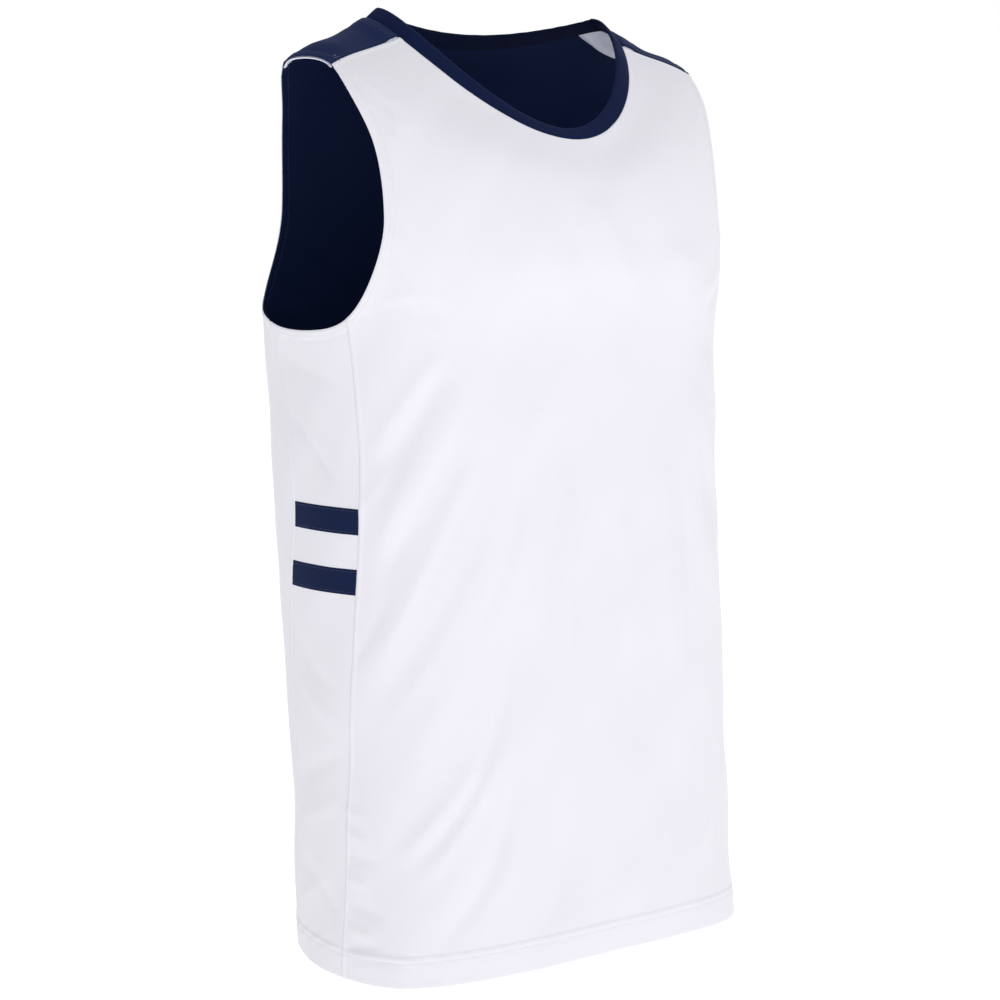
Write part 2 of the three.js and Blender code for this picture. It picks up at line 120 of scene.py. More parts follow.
# Folds: angle and level at the start, middle and end, half the width, and the height of the ridge, or of
# the trough where it is negative. The large ones are the part's own.
LARGE_FOLDS = (
    (-61, 3.30, -45, 3.69, -33, 4.06, 11, 2.2),
    (-62, 2.97, -45, 3.44, -32, 3.91, 12, -2.6),
    (-63, 2.62, -42, 3.23, -24, 4.00, 15, 3.6),
    (-63, 2.33, -41, 3.00, -27, 3.46, 12, -2.8),
    (-66, 1.83, -43, 2.55, -16, 3.79, 16, 3.8),
    (-62, 1.66, -38, 2.36, -22, 3.05, 13, -3.0),
    (-54, 1.33, -33, 2.05, -15, 3.30, 18, 3.6),
    (-35, 1.24, -23, 1.78, -14, 2.40, 14, -3.0),
    (-58, 0.67, -39, 1.04, -22, 1.63, 15, 3.0),
    (-50, 0.30, -28, 1.00, -10, 1.93, 17, 3.4),
    (-36, 0.30, -23, 0.92, -10, 1.60, 13, -2.4),
    (-9, 1.90, -7, 2.60, -6, 3.27, 16, 2.4),
    (2, 2.95, 1, 2.35, 0, 1.60, 14, -1.8),
    (21, 3.20, 22, 2.50, 21, 1.70, 18, 2.2),
    (61, 3.20, 46, 3.60, 34, 4.00, 12, 2.2),
    (63, 2.45, 47, 3.05, 30, 3.75, 15, 3.0),
    (64, 2.15, 50, 2.70, 36, 3.20, 13, -2.4),
    (66, 1.50, 46, 2.25, 28, 3.10, 16, 3.0),
    (60, 0.60, 44, 1.20, 30, 1.90, 16, 2.8),
    (-118, 3.30, -133, 3.75, -150, 4.05, 14, 2.6),
    (-112, 2.50, -134, 3.10, -152, 3.70, 16, 3.2),
    (-114, 1.60, -136, 2.30, -156, 3.10, 17, 3.2),
    (-120, 0.70, -140, 1.30, -158, 2.10, 17, 3.0),
    (118, 3.20, 134, 3.70, 151, 4.05, 14, 2.6),
    (112, 2.35, 135, 3.00, 154, 3.60, 16, 3.2),
    (115, 1.50, 137, 2.20, 157, 2.90, 17, 3.0),
    (121, 0.60, 141, 1.20, 160, 1.90, 17, 2.8),
    (176, 3.10, 178, 2.20, 177, 1.00, 20, 2.6),
    (-168, 2.60, -170, 1.80, -168, 0.90, 17, -2.0),
)
SMALL_FOLDS = (
    # Front, fine edges of the drags that fan out from the right side seam
    (-61, 3.25, -48, 3.61, -35, 4.07, 6, 0.5),
    (-57, 3.18, -43, 3.57, -33, 4.01, 6, -0.6),
    (-60, 2.52, -48, 3.16, -31, 3.90, 7, 0.5),
    (-60, 2.35, -43, 3.03, -27, 3.74, 6, -0.5),
    (-64, 1.86, -41, 2.71, -25, 3.68, 7, 0.6),
    (-57, 1.98, -35, 2.81, -21, 3.62, 6, -0.6),
    (-66, 1.49, -34, 2.37, -17, 3.69, 9, 0.7),
    (-36, 1.96, -21, 2.71, -15, 3.61, 7, -1.0),
    (-13, 3.72, -17, 3.14, -20, 2.42, 6, 1.2),
    (-61, 0.72, -41, 1.11, -30, 1.50, 6, 1.0),
    (-60, 0.62, -31, 1.29, -20, 2.37, 5, -1.2),
    (-54, 0.56, -35, 1.02, -23, 1.68, 6, 1.1),
    (-46, 0.25, -29, 0.69, -21, 1.54, 6, -1.4),
    (-31, 0.42, -24, 0.78, -19, 1.38, 7, 1.1),
    # Front, upright drags down its middle
    (-6, 3.34, -7, 2.62, -9, 1.78, 7, 1.5),
    (-10, 3.22, -11, 2.60, -14, 1.96, 6, -1.3),
    (-3, 3.24, -5, 2.58, -6, 1.88, 6, -1.3),
    (9, 2.98, 8, 2.47, 9, 1.90, 6, 1.3),
    (14, 3.00, 14, 2.50, 13, 2.00, 7, -0.8),
    (20, 3.32, 20, 2.54, 22, 1.64, 7, 1.7),
    (13, 2.08, 13, 1.62, 13, 1.12, 7, -1.0),
    (27, 3.16, 28, 2.44, 28, 1.60, 7, -1.3),
    (34, 3.50, 36, 2.70, 35, 1.80, 8, 1.2),
    # Front, beside the right armhole and its underarm
    (-48, 4.80, -46, 4.55, -43, 4.34, 5, 0.7),
    (-46, 4.86, -43, 4.51, -38, 4.28, 5, -0.7),
    (-56, 4.28, -46, 4.42, -33, 4.40, 8, 0.3),
    (-50, 4.40, -42, 4.28, -31, 4.27, 9, -0.5),
    (-68, 6.29, -55, 6.21, -46, 6.16, 4, 0.45),
    (-68, 6.22, -56, 6.10, -47, 5.98, 4, -0.55),
    (-60, 6.05, -52, 5.91, -42, 5.86, 4, -0.45),
    # Front, the slight hollow under the neckline and the streak below it
    (-12, 5.60, 10, 5.20, 34, 4.86, 34, -0.5),
    (24, 5.30, 38, 4.86, 46, 4.40, 26, -0.6),
    (0, 5.84, 5, 5.15, 12, 4.28, 9, 0.9),
    (-6, 5.44, -3, 4.87, 0, 4.18, 10, -0.9),
    (22, 5.20, 28, 4.60, 30, 3.90, 16, 1.0),
    # Front, short creases that leave the right side seam
    (-77, 1.05, -72, 1.04, -65, 1.02, 4, 0.8),
    (-77, 0.91, -72, 0.90, -66, 0.87, 4, 0.9),
    (-77, 0.79, -71, 0.77, -61, 0.74, 4, -0.9),
    (-78, 0.64, -73, 0.62, -66, 0.60, 5, 1.0),
    (-78, 0.49, -71, 0.46, -60, 0.43, 4, -1.0),
    (-79, 0.33, -73, 0.31, -65, 0.30, 4, 1.0),
    (-79, 0.24, -72, 0.23, -62, 0.26, 4, -0.9),
    (-70, 1.95, -61, 2.20, -53, 2.52, 6, -0.8),
    (-68, 2.85, -59, 3.04, -50, 3.32, 6, 0.7),
    # Front, long shallow drags towards the hem
    (-14, 0.24, -9, 0.80, -8, 1.50, 9, -1.1),
    (4, 0.22, 6, 0.80, 9, 1.50, 9, 1.0),
    (17, 0.25, 20, 0.75, 24, 1.40, 9, -1.1),
    (33, 0.30, 33, 0.85, 37, 1.45, 10, 1.2),
    (42, 0.30, 46, 0.90, 48, 1.60, 8, -1.1),
    (52, 0.34, 56, 1.00, 58, 1.90, 9, 1.0),
    (-18, 0.32, -13, 0.51, -8, 0.71, 3, 0.4),
    (2, 0.27, 5, 0.41, 8, 0.55, 3, 0.4),
    (12, 0.60, 17, 0.76, 21, 0.85, 3, 0.45),
    (26, 0.55, 31, 0.62, 38, 0.83, 4, 0.5),
    # Front, the left side under the armhole
    (50, 4.70, 43, 4.50, 37, 4.34, 9, 0.9),
    (57, 4.42, 48, 4.36, 38, 4.20, 9, -1.1),
    (62, 6.12, 53, 6.05, 45, 6.04, 7, 0.5),
    # Right side panel
    (-94, 3.92, -81, 3.84, -66, 3.72, 8, -0.7),
    (-92, 3.60, -80, 3.31, -69, 3.03, 4, -1.3),
    (-90, 3.46, -79, 3.22, -71, 2.99, 4, 0.5),
    (-87, 3.40, -78, 3.17, -74, 3.01, 3, -0.8),
    (-94, 2.20, -87, 1.92, -72, 1.79, 6, -1.0),
    (-97, 1.90, -87, 1.70, -75, 1.58, 7, 0.9),
    (-105, 1.14, -88, 1.28, -74, 1.42, 8, -1.0),
    (-108, 0.87, -87, 1.02, -76, 1.13, 7, 0.8),
    (-109, 0.64, -90, 0.51, -81, 0.28, 7, -1.0),
    (-108, 0.34, -98, 0.46, -86, 0.62, 6, 0.7),
    # Left side panel
    (92, 3.74, 82, 3.42, 70, 3.22, 9, 1.3),
    (94, 3.40, 85, 3.18, 72, 3.05, 8, -0.9),
    (94, 2.20, 85, 2.02, 74, 1.88, 9, 1.1),
    (98, 1.40, 88, 1.20, 78, 1.02, 9, -1.0),
    (104, 0.80, 93, 0.64, 84, 0.60, 9, 0.9),
    # Back, beside the armholes and down the middle
    (-134, 4.60, -142, 4.42, -150, 4.30, 9, 1.3),
    (-128, 4.26, -140, 4.20, -152, 4.06, 9, -1.4),
    (136, 4.62, 143, 4.44, 151, 4.34, 9, 1.3),
    (128, 4.22, 140, 4.14, 153, 4.00, 9, -1.4),
    (-138, 5.50, -150, 5.36, -163, 5.40, 14, 1.1),
    (139, 5.46, 151, 5.30, 164, 5.34, 14, 1.1),
    (-172, 5.60, 179, 5.10, 174, 4.50, 18, -1.2),
    (-166, 4.60, -164, 4.00, -166, 3.30, 14, 1.2),
    (160, 4.50, 165, 3.90, 166, 3.20, 14, -1.1),
    (-116, 1.14, -126, 1.30, -136, 1.60, 8, -1.0),
    (117, 1.00, 127, 1.20, 137, 1.50, 8, -1.0),
    (-150, 0.24, -154, 0.80, -160, 1.40, 11, 1.1),
    (172, 0.24, 169, 0.75, 170, 1.40, 12, -1.1),
    (150, 0.26, 152, 0.66, 158, 1.20, 10, 1.0),
    # Yokes, tension between neck and armhole
    (-84, 6.22, -91, 6.60, -96, 6.98, 26, 2.6),
    (-80, 6.34, -82, 6.60, -86, 6.90, 10, 0.6),
    (-98, 6.24, -100, 6.50, -99, 6.86, 11, -0.7),
    (72, 6.78, 88, 6.82, 102, 6.84, 12, 1.2),
    (82, 6.32, 83, 6.60, 87, 6.90, 10, 0.6),
    (99, 6.26, 101, 6.52, 100, 6.88, 11, -0.7),
)
# Folds of the inner ply alone, pushed inwards
INNER_FOLDS = (
    (-134, 5.60, -146, 5.30, -158, 5.06, 11, -2.0),
    (-136, 5.10, -149, 4.78, -162, 4.52, 12, -2.4),
    (-134, 4.62, -148, 4.36, -160, 4.20, 11, -2.0),
    (-128, 4.26, -142, 4.06, -156, 3.92, 10, -1.6),
    (134, 5.50, 147, 5.20, 159, 5.00, 11, -2.0),
    (135, 4.90, 148, 4.60, 160, 4.40, 12, -2.2),
    (-176, 6.30, 172, 6.05, 160, 5.92, 12, -1.5),
    (160, 6.60, 150, 6.44, 140, 6.40, 9, -1.0),
    (76, 6.45, 86, 6.60, 97, 6.66, 8, -1.5),
    (-76, 6.45, -86, 6.60, -97, 6.66, 8, -1.3),
    (-30, 5.00, -10, 4.60, 12, 4.50, 18, -1.8),
    (30, 4.00, 10, 3.60, -14, 3.60, 18, -1.6),
)
# Slow unevenness of the cloth: waves per metre along the width and the height, start, and height
UNEVEN = (
    (7.1, 3.3, 0.4, 0.34), (-4.6, 8.9, 1.9, 0.28), (11.7, -6.1, 3.1, 0.20),
    (15.3, 10.4, 5.2, 0.12), (-19.8, 13.6, 0.9, 0.09),
)

HANDS = (("right", -1), ("left", 1))
PLIES = ("outer", "inner")

# Reliefs of the cloth beside an edge, in millimetres: place of the middle, half the width, and height.
# A place is counted from the edge, or from the row of sewing that the name gives.
SEAM_RIDGE = (2.3, 1.7, 0.75)
ARMHOLE_TURNED, ARMHOLE_ROLL = 0.40, -0.60
ARMHOLE_NEEDLE = (-0.6, 0.75, -0.34)
ARMHOLE_CREASE = (0.0, 0.7, -0.16)
ARMHOLE_PUCKER = (-1, 4.5, 0.16)
HEM_TURNED, HEM_ROLL = 0.35, -0.4
HEM_UPPER_NEEDLE = (0.0, 0.8, -0.10)
HEM_LOWER_NEEDLE = (0.0, 0.8, -0.22)
HEM_RAISED = (0.0, 1.5, 0.28)
HEM_PUCKER = (-2, 9, 0.22)
HEM_DRAW, HEM_DRAW_SHARE = -0.8, 0.8
NECK_SUNK = -0.25
NEAR_NECK_NEEDLE = (0.0, 0.6, -0.2)
FAR_NECK_NEEDLE = (0.0, 0.6, -0.25)
TAPE_NEEDLE = (2, 0.5, -0.16)
TAPE_EDGE, TAPE_HEIGHT, TAPE_ROLL, TAPE_UNDER = 0.12, 0.5, 0.6, 0.04
INNER_SHARE = -0.5
PUCKER_WAY = (0.62, 0.34, 0.71)
CALM_REACH, CALM_SHARE = 14, 0.25

# Where a relief or a thickness rises or ends, beside an edge or a row of sewing
ROLL_FADE, ARMHOLE_FADE, HEM_FADE = (0, 1.6), (-1.5, 0.5), (-0.5, 1.5)
NECK_SUNK_FADE, NECK_STEP_RISE, NECK_STEP_FADE = (0, 0.9), (-2, 4), (8, 20)
HEM_THICK_FADE, ARMHOLE_THICK_FADE = (-1, 1.5), (-0.5, 1)
EDGE_ROUNDING, SET_BACK_FADE, PIPING_FADE = (-0.4, 1.1), (0, 4), (0, 3.0)

# Thickness of the turned edges, in shares of the ply's, and of the piping, in shares of how far it shows
TURNED_SHARE, INNER_TURNED_SHARE = 0.8, 0.4
PIPING_SINK, PIPING_DEPTH = 0.5, 0.6
FAR = 999.0

# Finer stations beside a panel's edges: start, end and step
BODY_EDGES = ((0, 0.03, 0.0025), (0.97, 1, 0.0025))
BODY_ENDS = ((0, 0.03, 0.006), (0.95, 1, 0.006))
SIDE_EDGES = ((0, 0.05, 0.012), (0.95, 1, 0.012))
SIDE_ENDS = (0.35, 0.28, 0.21, 0.15, 0.1, 0.06, 0.03)
YOKE_EDGES = ((0, 0.04, 0.01), (0.96, 1, 0.01))
YOKE_ENDS = ((0, 0.12, 0.008), (0.88, 1, 0.01))
TAPE_ENDS = ((0, 0.1, 0.03), (0.9, 1, 0.03))
COLUMNS_PER_PART = {"front": 6, "back": 7}
HEM_TOP, HEM_ROW = 0.235, 0.0082
ROWS = {"low": 121, "upper": 64, "underarm": 13, "side_top": 25, "yoke": 34, "tape": 8}
COLUMNS = {"side": 32, "yoke": 44}
LEAST_STEP = 0.0004

# Stitches: the rings of one, by place along it, share of the radius, and how far it sinks
STITCH_RINGS = (
    (-0.5, 0.25, -1.0), (-0.38, 0.8, -0.35), (0.0, 1.0, 0.0), (0.38, 0.8, -0.35), (0.5, 0.25, -1.0),
)
STITCH_SIDES = 6
STITCH_AHEAD = 0.8
# How far the thread's middle stands out of the cloth, in shares of its radius
PROUD = {"armhole": 0.5, "hem": 0.5, "neck": 0.4, "tack": 0.3}
INNER_SINK = 1.5
TAPE_PROUD, TAPE_INSET = 0.42, 2
TACK_SHARE, TACK_THREAD, TACK_ROWS = 0.12, 0.62, (-0.6, 2.0)
ARMHOLE_ROW = -0.6
# Points along each kind of sewing line, and rounds that fit a line to its distance
LINE_POINTS = {"armhole": 92, "hem": 200, "neck": 160, "tape": 60, "tack": 14}
HEM_ROUNDS, HEM_STEPS, OFFSET_ROUNDS = 3, 9, 2
# The parts of an armhole's topstitch: seams at both ends, and a point, on the left, towards which it lies
ARMHOLE_PARTS = {
    "front": ("front_side", "front_yoke", (60, -140, -300)),
    "yoke": ("front_yoke", "back_yoke", (60, 0, 0)),
    "back": ("back_yoke", "back_side", (60, 140, -300)),
    "side": ("back_side", "front_side", (200, 0, -700)),
}

# The neckband's section: rise up the band, and depth out of it
BAND_SECTION = (
    (0.10, -0.25), (0.45, 0.25), (1.3, 0.50), (3.0, 0.62), (6.5, 0.70), (10.0, 0.66), (12.0, 0.50),
    (13.2, 0.12), (13.85, -0.50), (14.0, -1.00), (13.85, -1.50), (13.2, -2.10), (12.0, -2.46),
    (10.0, -2.58), (6.5, -2.62), (3.0, -2.58), (1.5, -2.40), (0.6, -2.20), (0.10, -1.90),
)
BAND_COLUMNS = 480
BAND_BLEND = 3.0
# Height up the band's map past which its inner half is darkened as painted shade
BAND_FOLD = 0.0148
# Its slight swell: height, waves round the neck, and start
BAND_WAVES = ((0.10, 31, 0), (0.07, 47, 1))

# Knits: base colour and its tint, share of it at the dark end of the uneven dye and of the painted shade
# between the loops, roughness, gloss, sheen, the sheen's tint, and where a strip is folded, past which its
# inner half gets painted shade
NO_TINT = (1, 1, 1)
NAVY_SHEEN = (0.3, 0.4, 1.0)
KNITS = {
    "white_interlock": ("white", NO_TINT, 0.965, 0.52, 0.30, 0.08, NO_TINT, None),
    # The inner yoke's white is tinted blue: painted light bounced from the navy, in its shade
    "white_lining": ("white", (0.93, 0.98, 1.06), 0.965, 0.52, 0.20, 0.05, NO_TINT, None),
    "navy_interlock": ("navy", NO_TINT, 0.72, 0.62, 0.08, 0.03, NAVY_SHEEN, None),
    # The inner navy ply is the navy darkened to two thirds, darker still between its loops: painted shade
    # inside the jersey
    "navy_lining": ("navy", (0.66, 0.66, 0.66), 0.50 / 0.66, 0.66, 0.04, 0.02, (0.2, 0.3, 1.0), None),
    "navy_rib_band": ("band", NO_TINT, 0.75, 0.66, 0.06, 0.03, NAVY_SHEEN, BAND_FOLD),
    "navy_tape_knit": ("band", (1.9, 1.58, 1.18), 0.75, 0.66, 0.06, 0.03, NAVY_SHEEN, None),
}
SLUB = {"Scale": 900.0, "Detail": 2.0}
CLOUD = {"Scale": 14.0, "Detail": 4.0, "Roughness": 0.55}
KNIT_EMBOSS = 0.6
SHEEN_SPREAD = 0.45
RIB_SHARE, LOOP_SHARE, LOOP_LEAN, SLUB_SHARE = 0.65, 0.18, 0.9, 0.25
# Shares in the knit's colour of the slow cloud, its uneven tone, and of the weave, darker between the loops
# as painted shade; and the cloud's share of the roughness
CLOUD_SHARE, WEAVE_SHADE_SHARE, CLOUD_ROUGHNESS = 0.55, 0.45, 0.08
DYE_AND_SHADE_RANGE = (0.2, 0.75)
INSIDE_FOLD_SHADE = 0.5
# Threads: base colour, share of it on the twist and share in the painted shade between its turns
THREADS = {"white_thread": ("white", 1.0, 0.8), "navy_thread": ("navy", 1.3, 0.8)}
TWIST = {"Scale": 1400.0, "Distortion": 1.5}
TWIST_EMBOSS, TWIST_RELIEF = 0.4, 0.00005
THREAD_ROUGHNESS, THREAD_SHEEN = 0.62, 0.15

# Finish and slot of each panel's plies
PLY_FINISHES = {
    ("body", "outer"): ("white_interlock", "white_knit"),
    ("body", "inner"): ("navy_lining", "navy_knit"),
    ("yoke", "outer"): ("navy_interlock", "navy_knit"),
    ("yoke", "inner"): ("white_lining", "white_knit"),
}

# The studio: camera in millimetres, floor and lights in metres
CAMERA_PLACE = (-1143.7, -1585.7, -129.0)
CAMERA_AIM = (1.4, -2.5, -394.1)
LENS, SENSOR, CLIP_END = 84.8, 36.0, 60
FLOOR_HALF, FLOOR_CELLS = 60.0, 24
FLOOR_GRAIN = {"Scale": 2.0, "Detail": 3.0}
FLOOR_SHADE, FLOOR_ROUGHNESS = 0.99, 0.9
WHITE = (1, 1, 1, 1)
SURROUND_COLOUR = (0.985, 0.985, 1.0, 1)
SURROUND_TURN = (-1.0, 0.2)
# Lights: place, size and colour
LIGHTS = {
    "key_light": ((-1.2, -2.7, 0.2), (2.0, 1.6), (1.0, 0.99, 1.0)),
    "side_light": ((-1.9, -2.2, 0.1), (0.9, 1.5), (0.95, 0.96, 1.0)),
}
LIGHT_AIM = (0, 0, -0.4)


def mix(a, b, share):
    return a + (b - a) * share


def smooth(share):
    share = np.clip(share, 0, 1)
    return share * share * (3 - 2 * share)


def spline(p0, p1, p2, p3, share):
    """Catmull-Rom between p1 and p2."""
    square = share * share
    return 0.5 * (2 * p1 + (p2 - p0) * share + (2 * p0 - 5 * p1 + 4 * p2 - p3) * square
                  + (3 * (p1 - p2) + p3 - p0) * square * share)


def along(values, place):
    """A list of numbers read as a smooth curve."""
    values = np.asarray(values, float)
    place = np.asarray(place, float)
    last = len(values) - 1
    i = np.clip(np.floor(place).astype(int), 0, last - 1)
    longer = np.concatenate(([2 * values[0] - values[1]], values, [2 * values[-1] - values[-2]]))
    return spline(longer[i], longer[i + 1], longer[i + 2], longer[i + 3], place - i)


def shoulder_hollow(angle, level):
    """How far each shoulder sinks between the armhole and the neck."""
    turned = np.abs((np.asarray(angle) + 180) % 360 - 180)
    off = np.clip((turned - HOLLOW_ANGLE) / HOLLOW_REACH, -1, 1)
    up = np.clip(level - (NECK_LEVEL - 1), 0, 1) ** HOLLOW_SKEW
    return HOLLOW_DEPTH * np.cos(off * math.pi / 2) ** 2 * np.sin(up * math.pi) ** 2


def body_point(angle, level):
    """The smooth body, before its folds."""
    s = {name: along(SECTIONS[:, k], level) for k, name in enumerate(SECTION_COLUMNS)}
    a = np.radians(angle)
    cosine = np.cos(a)
    square = s["square"]
    across = (np.sin(a) + square * np.sin(3 * a)) / (1 - square)
    ahead = (cosine - square * np.cos(3 * a)) / (1 - square)
    before = cosine >= 0
    depth = np.where(before, s["front"] + s["middle"], s["back"] - s["middle"])
    share = np.abs(cosine) ** np.where(before, s["fall"], 2)
    height = mix(s["z_side"], np.where(before, s["z_front"], s["z_back"]), share)
    height = height - shoulder_hollow(angle, level)
    return np.stack([s["half"] * across, s["middle"] - depth * ahead, height], axis=-1)


def run_along(points):
    """Lengths from the first point of each row to its others."""
    steps = np.linalg.norm(np.diff(points, axis=-2), axis=-1).cumsum(axis=-1)
    return np.concatenate([np.zeros((*steps.shape[:-1], 1)), steps], axis=-1)


def read_along(values, run, stations):
    """Vectors at stations between those of a line, whose lengths along it are run."""
    return np.stack([np.interp(stations, run, values[:, k]) for k in range(3)], axis=1)


def unit(vectors):
    return vectors / np.linalg.norm(vectors, axis=-1, keepdims=True)


def body_slopes(angle, level):
    """Vectors of one degree round the body and of one level up it."""
    above = np.minimum(level + LEVEL_STEP, NECK_LEVEL)
    below = level - LEVEL_STEP
    turn = (body_point(angle + ANGLE_STEP, level) - body_point(angle - ANGLE_STEP, level)) / (2 * ANGLE_STEP)
    rise = (body_point(angle, above) - body_point(angle, below)) / (above - below)[..., None]
    return turn, rise


def body_normal(angle, level):
    turn, rise = body_slopes(angle, level)
    return unit(np.cross(turn, rise))


def fold_lift(angle, level, folds, crest=LARGE_CREST):
    """The height of all the folds of a table at each place. A lower crest makes sharper ridges."""
    lift = np.zeros(np.shape(angle))
    for a0, l0, a1, l1, a2, l2, width, height in folds:
        start, middle, end = np.array((a0, l0)), np.array((a1, l1)), np.array((a2, l2))
        # The short way round from the fold's middle
        start[0] = a1 + (a0 - a1 + 180) % 360 - 180
        end[0] = a1 + (a2 - a1 + 180) % 360 - 180
        bend = 2 * middle - (start + end) / 2
        share = np.linspace(0, 1, FOLD_STEPS + 1)[:, None]
        curve = mix(mix(start, bend, share), mix(bend, end, share), share) * (MM_PER_DEGREE, MM_PER_LEVEL)
        turned = angle - 360 * np.round((angle - a1) / 360)
        place = np.stack([turned * MM_PER_DEGREE, level * MM_PER_LEVEL], axis=-1)
        reach = 3 * width
        near = ((place > curve.min(0) - reach) & (place < curve.max(0) + reach)).all(-1)
        if not near.any():
            continue
        spots = place[near]
        nearest = np.full(len(spots), np.inf)
        nearest_share = np.zeros(len(spots))
        for i in range(FOLD_STEPS):
            stretch = curve[i + 1] - curve[i]
            offset = spots - curve[i]
            part = np.clip(offset @ stretch / (stretch @ stretch), 0, 1)
            distance = np.linalg.norm(offset - part[:, None] * stretch, axis=1)
            closer = distance < nearest
            nearest = np.where(closer, distance, nearest)
            nearest_share = np.where(closer, (i + part) / FOLD_STEPS, nearest_share)
        fade = smooth(np.minimum(nearest_share, 1 - nearest_share) / FOLD_TAPER)
        lift[near] += height * fade * np.exp(-(nearest / width) ** crest)
    return lift


def unevenness(points):
    lift = np.zeros(points.shape[:-1])
    for width_waves, height_waves, start, height in UNEVEN:
        run = (points[..., 0] - points[..., 1]) * width_waves + points[..., 2] * height_waves
        lift += height * np.sin(run * MM * 2 * math.pi + start)
    return lift


# Seams and edges, as places: angle and level

def armhole_place(count, side):
    n = len(ARMHOLE)
    i = np.floor(count).astype(int)
    knots = [ARMHOLE[(i + k) % n] for k in (-1, 0, 1, 2)]
    share = (count - i)[..., None]
    place = spline(*knots, share)
    return np.stack([side * place[..., 0], place[..., 1]], axis=-1)


def armhole_run(start_knot, end_knot, share, side):
    start = ARMHOLE_KNOTS[start_knot]
    ahead = ARMHOLE_KNOTS[end_knot] - start
    end = start + ahead - len(ARMHOLE) * round(ahead / len(ARMHOLE))
    return armhole_place(mix(start, end, share), side)


def seam_top(seam):
    return ARMHOLE[ARMHOLE_KNOTS[seam]][1]


def side_seam(seam, level, side):
    angles = SIDE_SEAMS[seam]
    place = level / seam_top(seam) * (len(angles) - 1)
    return np.stack([side * along(angles, place), level + 0 * place], axis=-1)


def yoke_seam(seam, share, side):
    angle, level = ARMHOLE[ARMHOLE_KNOTS[seam]]
    return np.stack([side * mix(angle, YOKE_NECK[seam], share), mix(level, NECK_LEVEL, share)], axis=-1)


def tree_of(places, closed=False):
    """A search tree of points on a line of places on the smooth body."""
    points = body_point(places[:, 0], places[:, 1])
    if closed:
        points = np.vstack([points, points[:1]])
    run = run_along(points)
    stations = read_along(points, run, np.linspace(0, run[-1], int(run[-1] / TREE_SPACING) + 1))
    tree = kdtree.KDTree(len(stations))
    for i, point in enumerate(stations):
        tree.insert(point, i)
    tree.balance()
    return tree


def distance_to(trees, points):
    flat = points.reshape(-1, 3)
    found = np.array([min(tree.find(point)[2] for tree in trees) for point in flat])
    return found.reshape(points.shape[:-1])


FINE = np.linspace(0, 1, 241)
AROUND = np.linspace(-180, 180, 721)[:-1]
ARMHOLE_TREES = {side: tree_of(armhole_place(FINE[:-1] * len(ARMHOLE), side), closed=True)
                 for side in (-1, 1)}
HEM_TREE = tree_of(np.stack([AROUND, 0 * AROUND], axis=1), closed=True)
NECK_TREE = tree_of(np.stack([AROUND, 0 * AROUND + NECK_LEVEL], axis=1), closed=True)
SEAM_TREES = {}
for SIDE in (-1, 1):
    for SEAM in SIDE_SEAMS:
        SEAM_TREES[SEAM, SIDE] = tree_of(side_seam(SEAM, FINE * seam_top(SEAM), SIDE))
    for SEAM in YOKE_NECK:
        SEAM_TREES[SEAM, SIDE] = tree_of(yoke_seam(SEAM, FINE, SIDE))


def edge_trees(panel, side):
    """The edges that shape a panel: seams, armholes, hem and neckline."""
    sides = (-1, 1) if side == 0 else (side,)
    seams = {"front": ("front_side", "front_yoke"), "back": ("back_side", "back_yoke"),
             "side": ("front_side", "back_side"), "yoke": ("front_yoke", "back_yoke")}[panel]
    return {
        "seam": [SEAM_TREES[seam, s] for seam in seams for s in sides],
        "armhole": [ARMHOLE_TREES[s] for s in sides],
        "hem": [HEM_TREE] if panel != "yoke" else [],
        "neck": [NECK_TREE] if panel != "side" else [],
    }


# Lifts of the outer face beside an edge, by distance from it. All lengths in millimetres.

def bump(distance, place, width, height):
    return height * np.exp(-((distance - place) / width) ** 2)


def ramp(distance, start, end):
    """0 at start, rising smoothly to 1 at end."""
    return smooth((distance - start) / (end - start))


def until(distance, row, fade):
    """1 up to a row of sewing, falling smoothly to 0 over the fade beside it."""
    return 1 - ramp(distance, row + fade[0], row + fade[1])


def ridge(distance, row, place, width, height):
    """A ridge or groove beside a row of sewing at that distance from the edge."""
    return bump(distance, row + place, width, height)


def seam_lift(d, panel):
    """The allowances lie under front and back, so their edges stand a little over the side panels."""
    if panel == "side":
        return 0 * d
    return ridge(d, 0, *SEAM_RIDGE)


def armhole_lift(d, pucker, sewing):
    hem = sewing.armhole_hem
    turned = ARMHOLE_TURNED * until(d, hem, ARMHOLE_FADE)
    roll = ARMHOLE_ROLL * until(d, 0, ROLL_FADE)
    groove = ridge(d, hem, *ARMHOLE_NEEDLE) + ridge(d, hem / 2, *ARMHOLE_CREASE)
    return turned + roll + groove + pucker * ridge(d, hem, *ARMHOLE_PUCKER)


def hem_lift(d, pucker, sewing):
    hem, gap = sewing.hem_depth, sewing.needle_gap
    turned = HEM_TURNED * until(d, hem, HEM_FADE)
    roll = HEM_ROLL * until(d, 0, ROLL_FADE)
    upper = ridge(d, hem, *HEM_UPPER_NEEDLE)
    lower = ridge(d, hem - gap, *HEM_LOWER_NEEDLE)
    raised = ridge(d, hem - gap / 2, *HEM_RAISED)
    return turned + roll + upper + lower + raised + pucker * ridge(d, hem, *HEM_PUCKER)


def hem_draw(d, sewing):
    """Both plies draw in a little towards the hem's edge."""
    return HEM_DRAW * until(d, 0, (0, sewing.hem_depth * HEM_DRAW_SHARE))


def neck_lift(d, panel, sewing):
    sunk = NECK_SUNK * until(d, 0, NECK_SUNK_FADE)
    if panel != "yoke":
        return sunk
    rows = ridge(d, sewing.neck_near, *NEAR_NECK_NEEDLE) + ridge(d, sewing.neck_far, *FAR_NECK_NEEDLE)
    under = sewing.neck_step * ramp(d, *NECK_STEP_RISE) * until(d, 0, NECK_STEP_FADE)
    return sunk + rows + under


def sizes_of(context):
    return context.scene.jersey_cloth, context.scene.jersey_sewing


